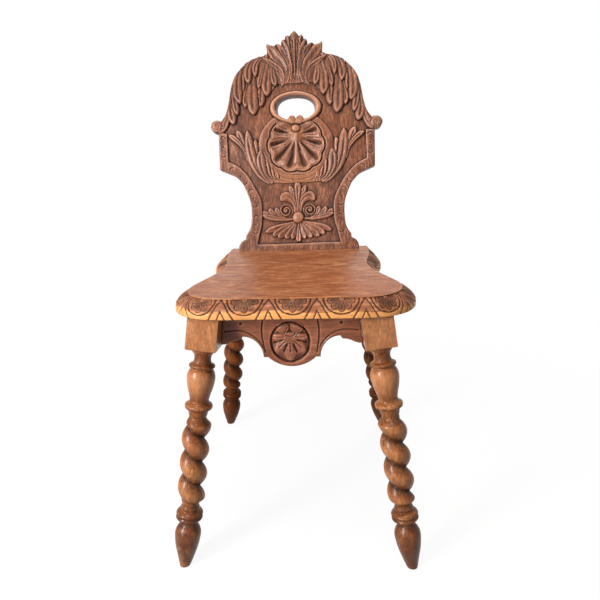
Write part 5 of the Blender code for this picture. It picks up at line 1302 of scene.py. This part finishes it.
def seatRow(number, along):
    # One row down the edge: its points, then how much painted shade and dirt, and how much painted highlight
    # and wear, they get
    line, shares, outward, s = along
    width = shares * seat["moulding"]
    flat = np.ones(len(line))
    slope = seat["slopeRows"]
    step = number - len(seat["lipRows"])
    fall = seat["drop"] - seat["lip"]
    if step < 0:
        drop, inset = seat["lipRows"][number]
        run = width + inset
        nx, nz, q, cut, off = 0, 0, 0, 0 * flat, 0 * flat
    else:
        t = min(step / slope, 1)
        below = max(step - slope, 0)
        drop = seat["lip"] + fall * t + (seat["thickness"] - seat["drop"]) * below / seat["fasciaRows"]
        run = width * (1 - t)
        steep = np.arctan2(fall, width)
        nx, nz = (np.sin(steep), np.cos(steep)) if t < 1 else (1, 0)
        q = 2 + 22 * t + below
        cut = mouldingCut(s, q * flat) * smooth(0.3, 0.6, shares)
        isCorner = t == 1 and drop < seat["drop"] + 1.1
        off = seat["bulge"] * math.sin(math.pi * t) - cut - (0.8 if isCorner else 0)
    if drop > seat["thickness"] - 0.6:
        off = off - 0.8
    place = line + outward * (off * nx - run)[:, None]
    level = np.clip(seatTop / mm - drop + off * nz, seatUnder / mm, seatTop / mm)
    q = q * flat
    # A lighter band of wear along the fascia under a wavy line, which also paints the highlight the fascia
    # catches; grime on the slope above
    highlightAndWear = 22.5 + 2.0 * wander(s, q, 30, 8.0)
    fascia = smooth(highlightAndWear - 2.5, highlightAndWear + 2.5, q)
    grime = (0.20 + 0.08 * wander(s, q, 18, 4.0)) * (1 - fascia) * (step > 0)
    # Painted shade in the gouge cuts, a painted shadow line under the flat's lip, and grime; a painted
    # highlight on the lip's edge and the fascia band
    shadeAndGrime = np.clip(cut / 1.7, 0, 1) + (0.85 if step in (-1, 0) else 0.0) + grime
    crest = np.clip(fascia - cut / 2, 0, 1) if step > 0 else flat * (0, 0.2, 0.3, 0, 0)[number]
    return np.column_stack((place, level)), np.clip(shadeAndGrime, 0, 1), crest


def makeSeat():
    along = seatLoop()
    count = len(along[0])
    last = len(seat["lipRows"]) + seat["slopeRows"] + seat["fasciaRows"]
    rings, shadeAndGrime, crest = zip(*(seatRow(number, along) for number in range(last + 1)))
    local = np.concatenate(rings).tolist()
    shadeAndGrime = np.concatenate(shadeAndGrime).tolist()
    crest = np.concatenate(crest).tolist()
    faces = []
    for start in range(0, last * count, count):
        faces += [(a, b, b + count, a + count) for a, b in ringEdges(start, count)]
    # The flat top is filled with wide triangles, and so is the underside
    us, vs = (grid.ravel() for grid in np.meshgrid(np.arange(-185, 186, 9.0), np.arange(-190, 196, 9.0)))
    for start, level in ((0, seatTop / mm), (last * count, seatUnder / mm)):
        border = [tuple(point[:2]) for point in local[start:start + count]]
        good = insideOf(border, us, vs) & (gapTo(border + border[:1], us, vs) > 4)
        points, sources, triangles, _, keep = fillFlat(border + list(zip(us[good], vs[good])),
                                                       ringEdges(0, count), [border], 0.00001)
        names = []
        # A point of the border keeps its place; any other, also where the border crosses itself, is new
        for point, origin in zip(points, sources):
            first = min(origin, default=count)
            if first < count:
                names.append(start + first)
            else:
                names.append(len(local))
                local.append((*point, level))
                shadeAndGrime.append(0.0)
                crest.append(0.0)
        faces += [tuple(names[i] for i in face) for face, use in zip(triangles, keep) if use]
    world = [(x * mm, y * mm + seatShift, z * mm) for x, y, z in local]
    piece = makeMesh("seatBoard", world, faces, woodSeat, {"shadeAndGrime": shadeAndGrime, "crest": crest})
    piece.data.set_sharp_from_angle(angle=math.radians(60))
    return piece


seatBoard = makeSeat()
standFor(seatBoard, "seat_oak", "seat_board")
print("seat made:", len(seatBoard.data.polygons), "faces")


# Floor, light and camera

# Half the floor's side and its level, where its grey begins to fade and ends, and how pale it is to the eye
# and to the light that it throws back
ground = {"half": 12, "level": -0.0005, "near": 0.35, "far": 1.1, "pale": 0.92, "bounce": 0.3}
view = {"place": (0.056, -0.913, 0.697), "yaw": 0.053, "pitch": 0.311, "roll": -0.034, "lens": 30.24}
# Each lamp: place, target, size, power, colour and whether gloss shows it
lamps = {
    "windowLeft": ((-1.38, -1.32, 1.15), (0, 0, 0.55), (0.45, 0.75), 50, (1, 0.98, 0.98), True),
    "leftLow": ((-1.4, -1.9, 0.5), (0, 0, 0.35), (0.7, 0.7), 12, (1, 0.95, 0.90), True),
    "topSoft": ((-0.2, -0.5, 3.2), (0, 0.05, 0.5), (0.9, 0.6), 38, (1, 0.97, 0.94), True),
    "frontLow": ((0.8, -2.2, 0.4), (0, 0, 0.3), (1.0, 0.7), 2.5, (1, 0.90, 0.80), True),
    "rearSoft": ((0.9, 2.4, 1.3), (0, 0, 0.45), (1.2, 1.0), 25, (1, 0.97, 0.94), False),
}


def seenBy(tree):
    # 1 where the camera looks, straight, through something or in a gloss
    rays = addNode(tree, "ShaderNodeLightPath").outputs
    direct = mathNode(tree, "MAXIMUM", rays["Is Camera Ray"], rays["Is Transmission Ray"])
    return mathNode(tree, "MAXIMUM", direct, rays["Is Glossy Ray"])


def makeFloor():
    mesh = bpy.data.meshes.new("floor")
    corners = ((-1, -1), (1, -1), (1, 1), (-1, 1))
    mesh.from_pydata([(x * ground["half"], y * ground["half"], ground["level"]) for x, y in corners], [],
                     [(0, 1, 2, 3)])
    material, tree, shader, coords = newMaterial("paleFloor")
    # The camera sees mostly white; the shadow stays near the chair and the far floor is as white as the wall
    far = addNode(tree, "ShaderNodeVectorMath", {0: coords}, operation="LENGTH").outputs["Value"]
    whiteness = addNode(tree, "ShaderNodeMapRange", {"Value": far, "From Min": ground["near"],
                                                     "From Max": ground["far"], "To Min": ground["pale"],
                                                     "To Max": 1.0}).outputs[0]
    seen = seenBy(tree)
    feed(tree, shader, {"Roughness": 0.9, "Specular IOR Level": 0.0,
                        "Base Color": mixColour(tree, seen, grey(ground["bounce"]), grey(ground["pale"]))})
    glow = addNode(tree, "ShaderNodeEmission", {"Color": grey(1), "Strength": 1.0}).outputs[0]
    share = mathNode(tree, "MULTIPLY", seen, whiteness)
    mixed = addNode(tree, "ShaderNodeMixShader", {0: share, 1: shader.outputs[0], 2: glow}).outputs[0]
    feed(tree, tree.nodes["Material Output"], {"Surface": mixed})
    mesh.materials.append(material)
    floor = placed("floor", mesh)


def makeWorld():
    world = bpy.data.worlds.new("studio")
    bpy.context.scene.world = world
    world.use_nodes = True
    tree = world.node_tree
    strength = addNode(tree, "ShaderNodeMapRange", {"Value": seenBy(tree), "To Min": 0.22, "To Max": 1.0})
    feed(tree, tree.nodes["Background"], {"Color": grey(1), "Strength": strength.outputs[0]})


def addLight(name, place, target, size, power, colour, glossy):
    lamp = bpy.data.lights.new(name, "AREA")
    lamp.shape = "RECTANGLE"
    lamp.size, lamp.size_y = size
    lamp.energy = power
    lamp.color = colour
    item = placed(name, lamp)
    item.location = place
    item.rotation_euler = (Vector(target) - Vector(place)).to_track_quat("-Z", "Y").to_euler()
    item.visible_glossy = glossy


def makeCamera():
    forward = Vector((-math.sin(view["yaw"]) * math.cos(view["pitch"]),
                      math.cos(view["yaw"]) * math.cos(view["pitch"]), -math.sin(view["pitch"])))
    right = Vector((math.cos(view["yaw"]), math.sin(view["yaw"]), 0))
    up = right.cross(forward)
    turnedRight = right * math.cos(view["roll"]) + up * math.sin(view["roll"])
    turnedUp = up * math.cos(view["roll"]) - right * math.sin(view["roll"])
    lens = bpy.data.cameras.new("photoCamera")
    lens.lens = view["lens"]
    lens.sensor_width = 36
    camera = placed("photoCamera", lens)
    matrix = Matrix((turnedRight, turnedUp, -forward)).transposed().to_4x4()
    matrix.translation = Vector(view["place"]) + Vector((0, seatShift, 0))
    camera.matrix_world = matrix
    bpy.context.scene.camera = camera


makeFloor()
makeWorld()
for name, settings in lamps.items():
    addLight(name, *settings)
makeCamera()
bpy.context.scene.view_settings.view_transform = "Standard"
print("stage set")
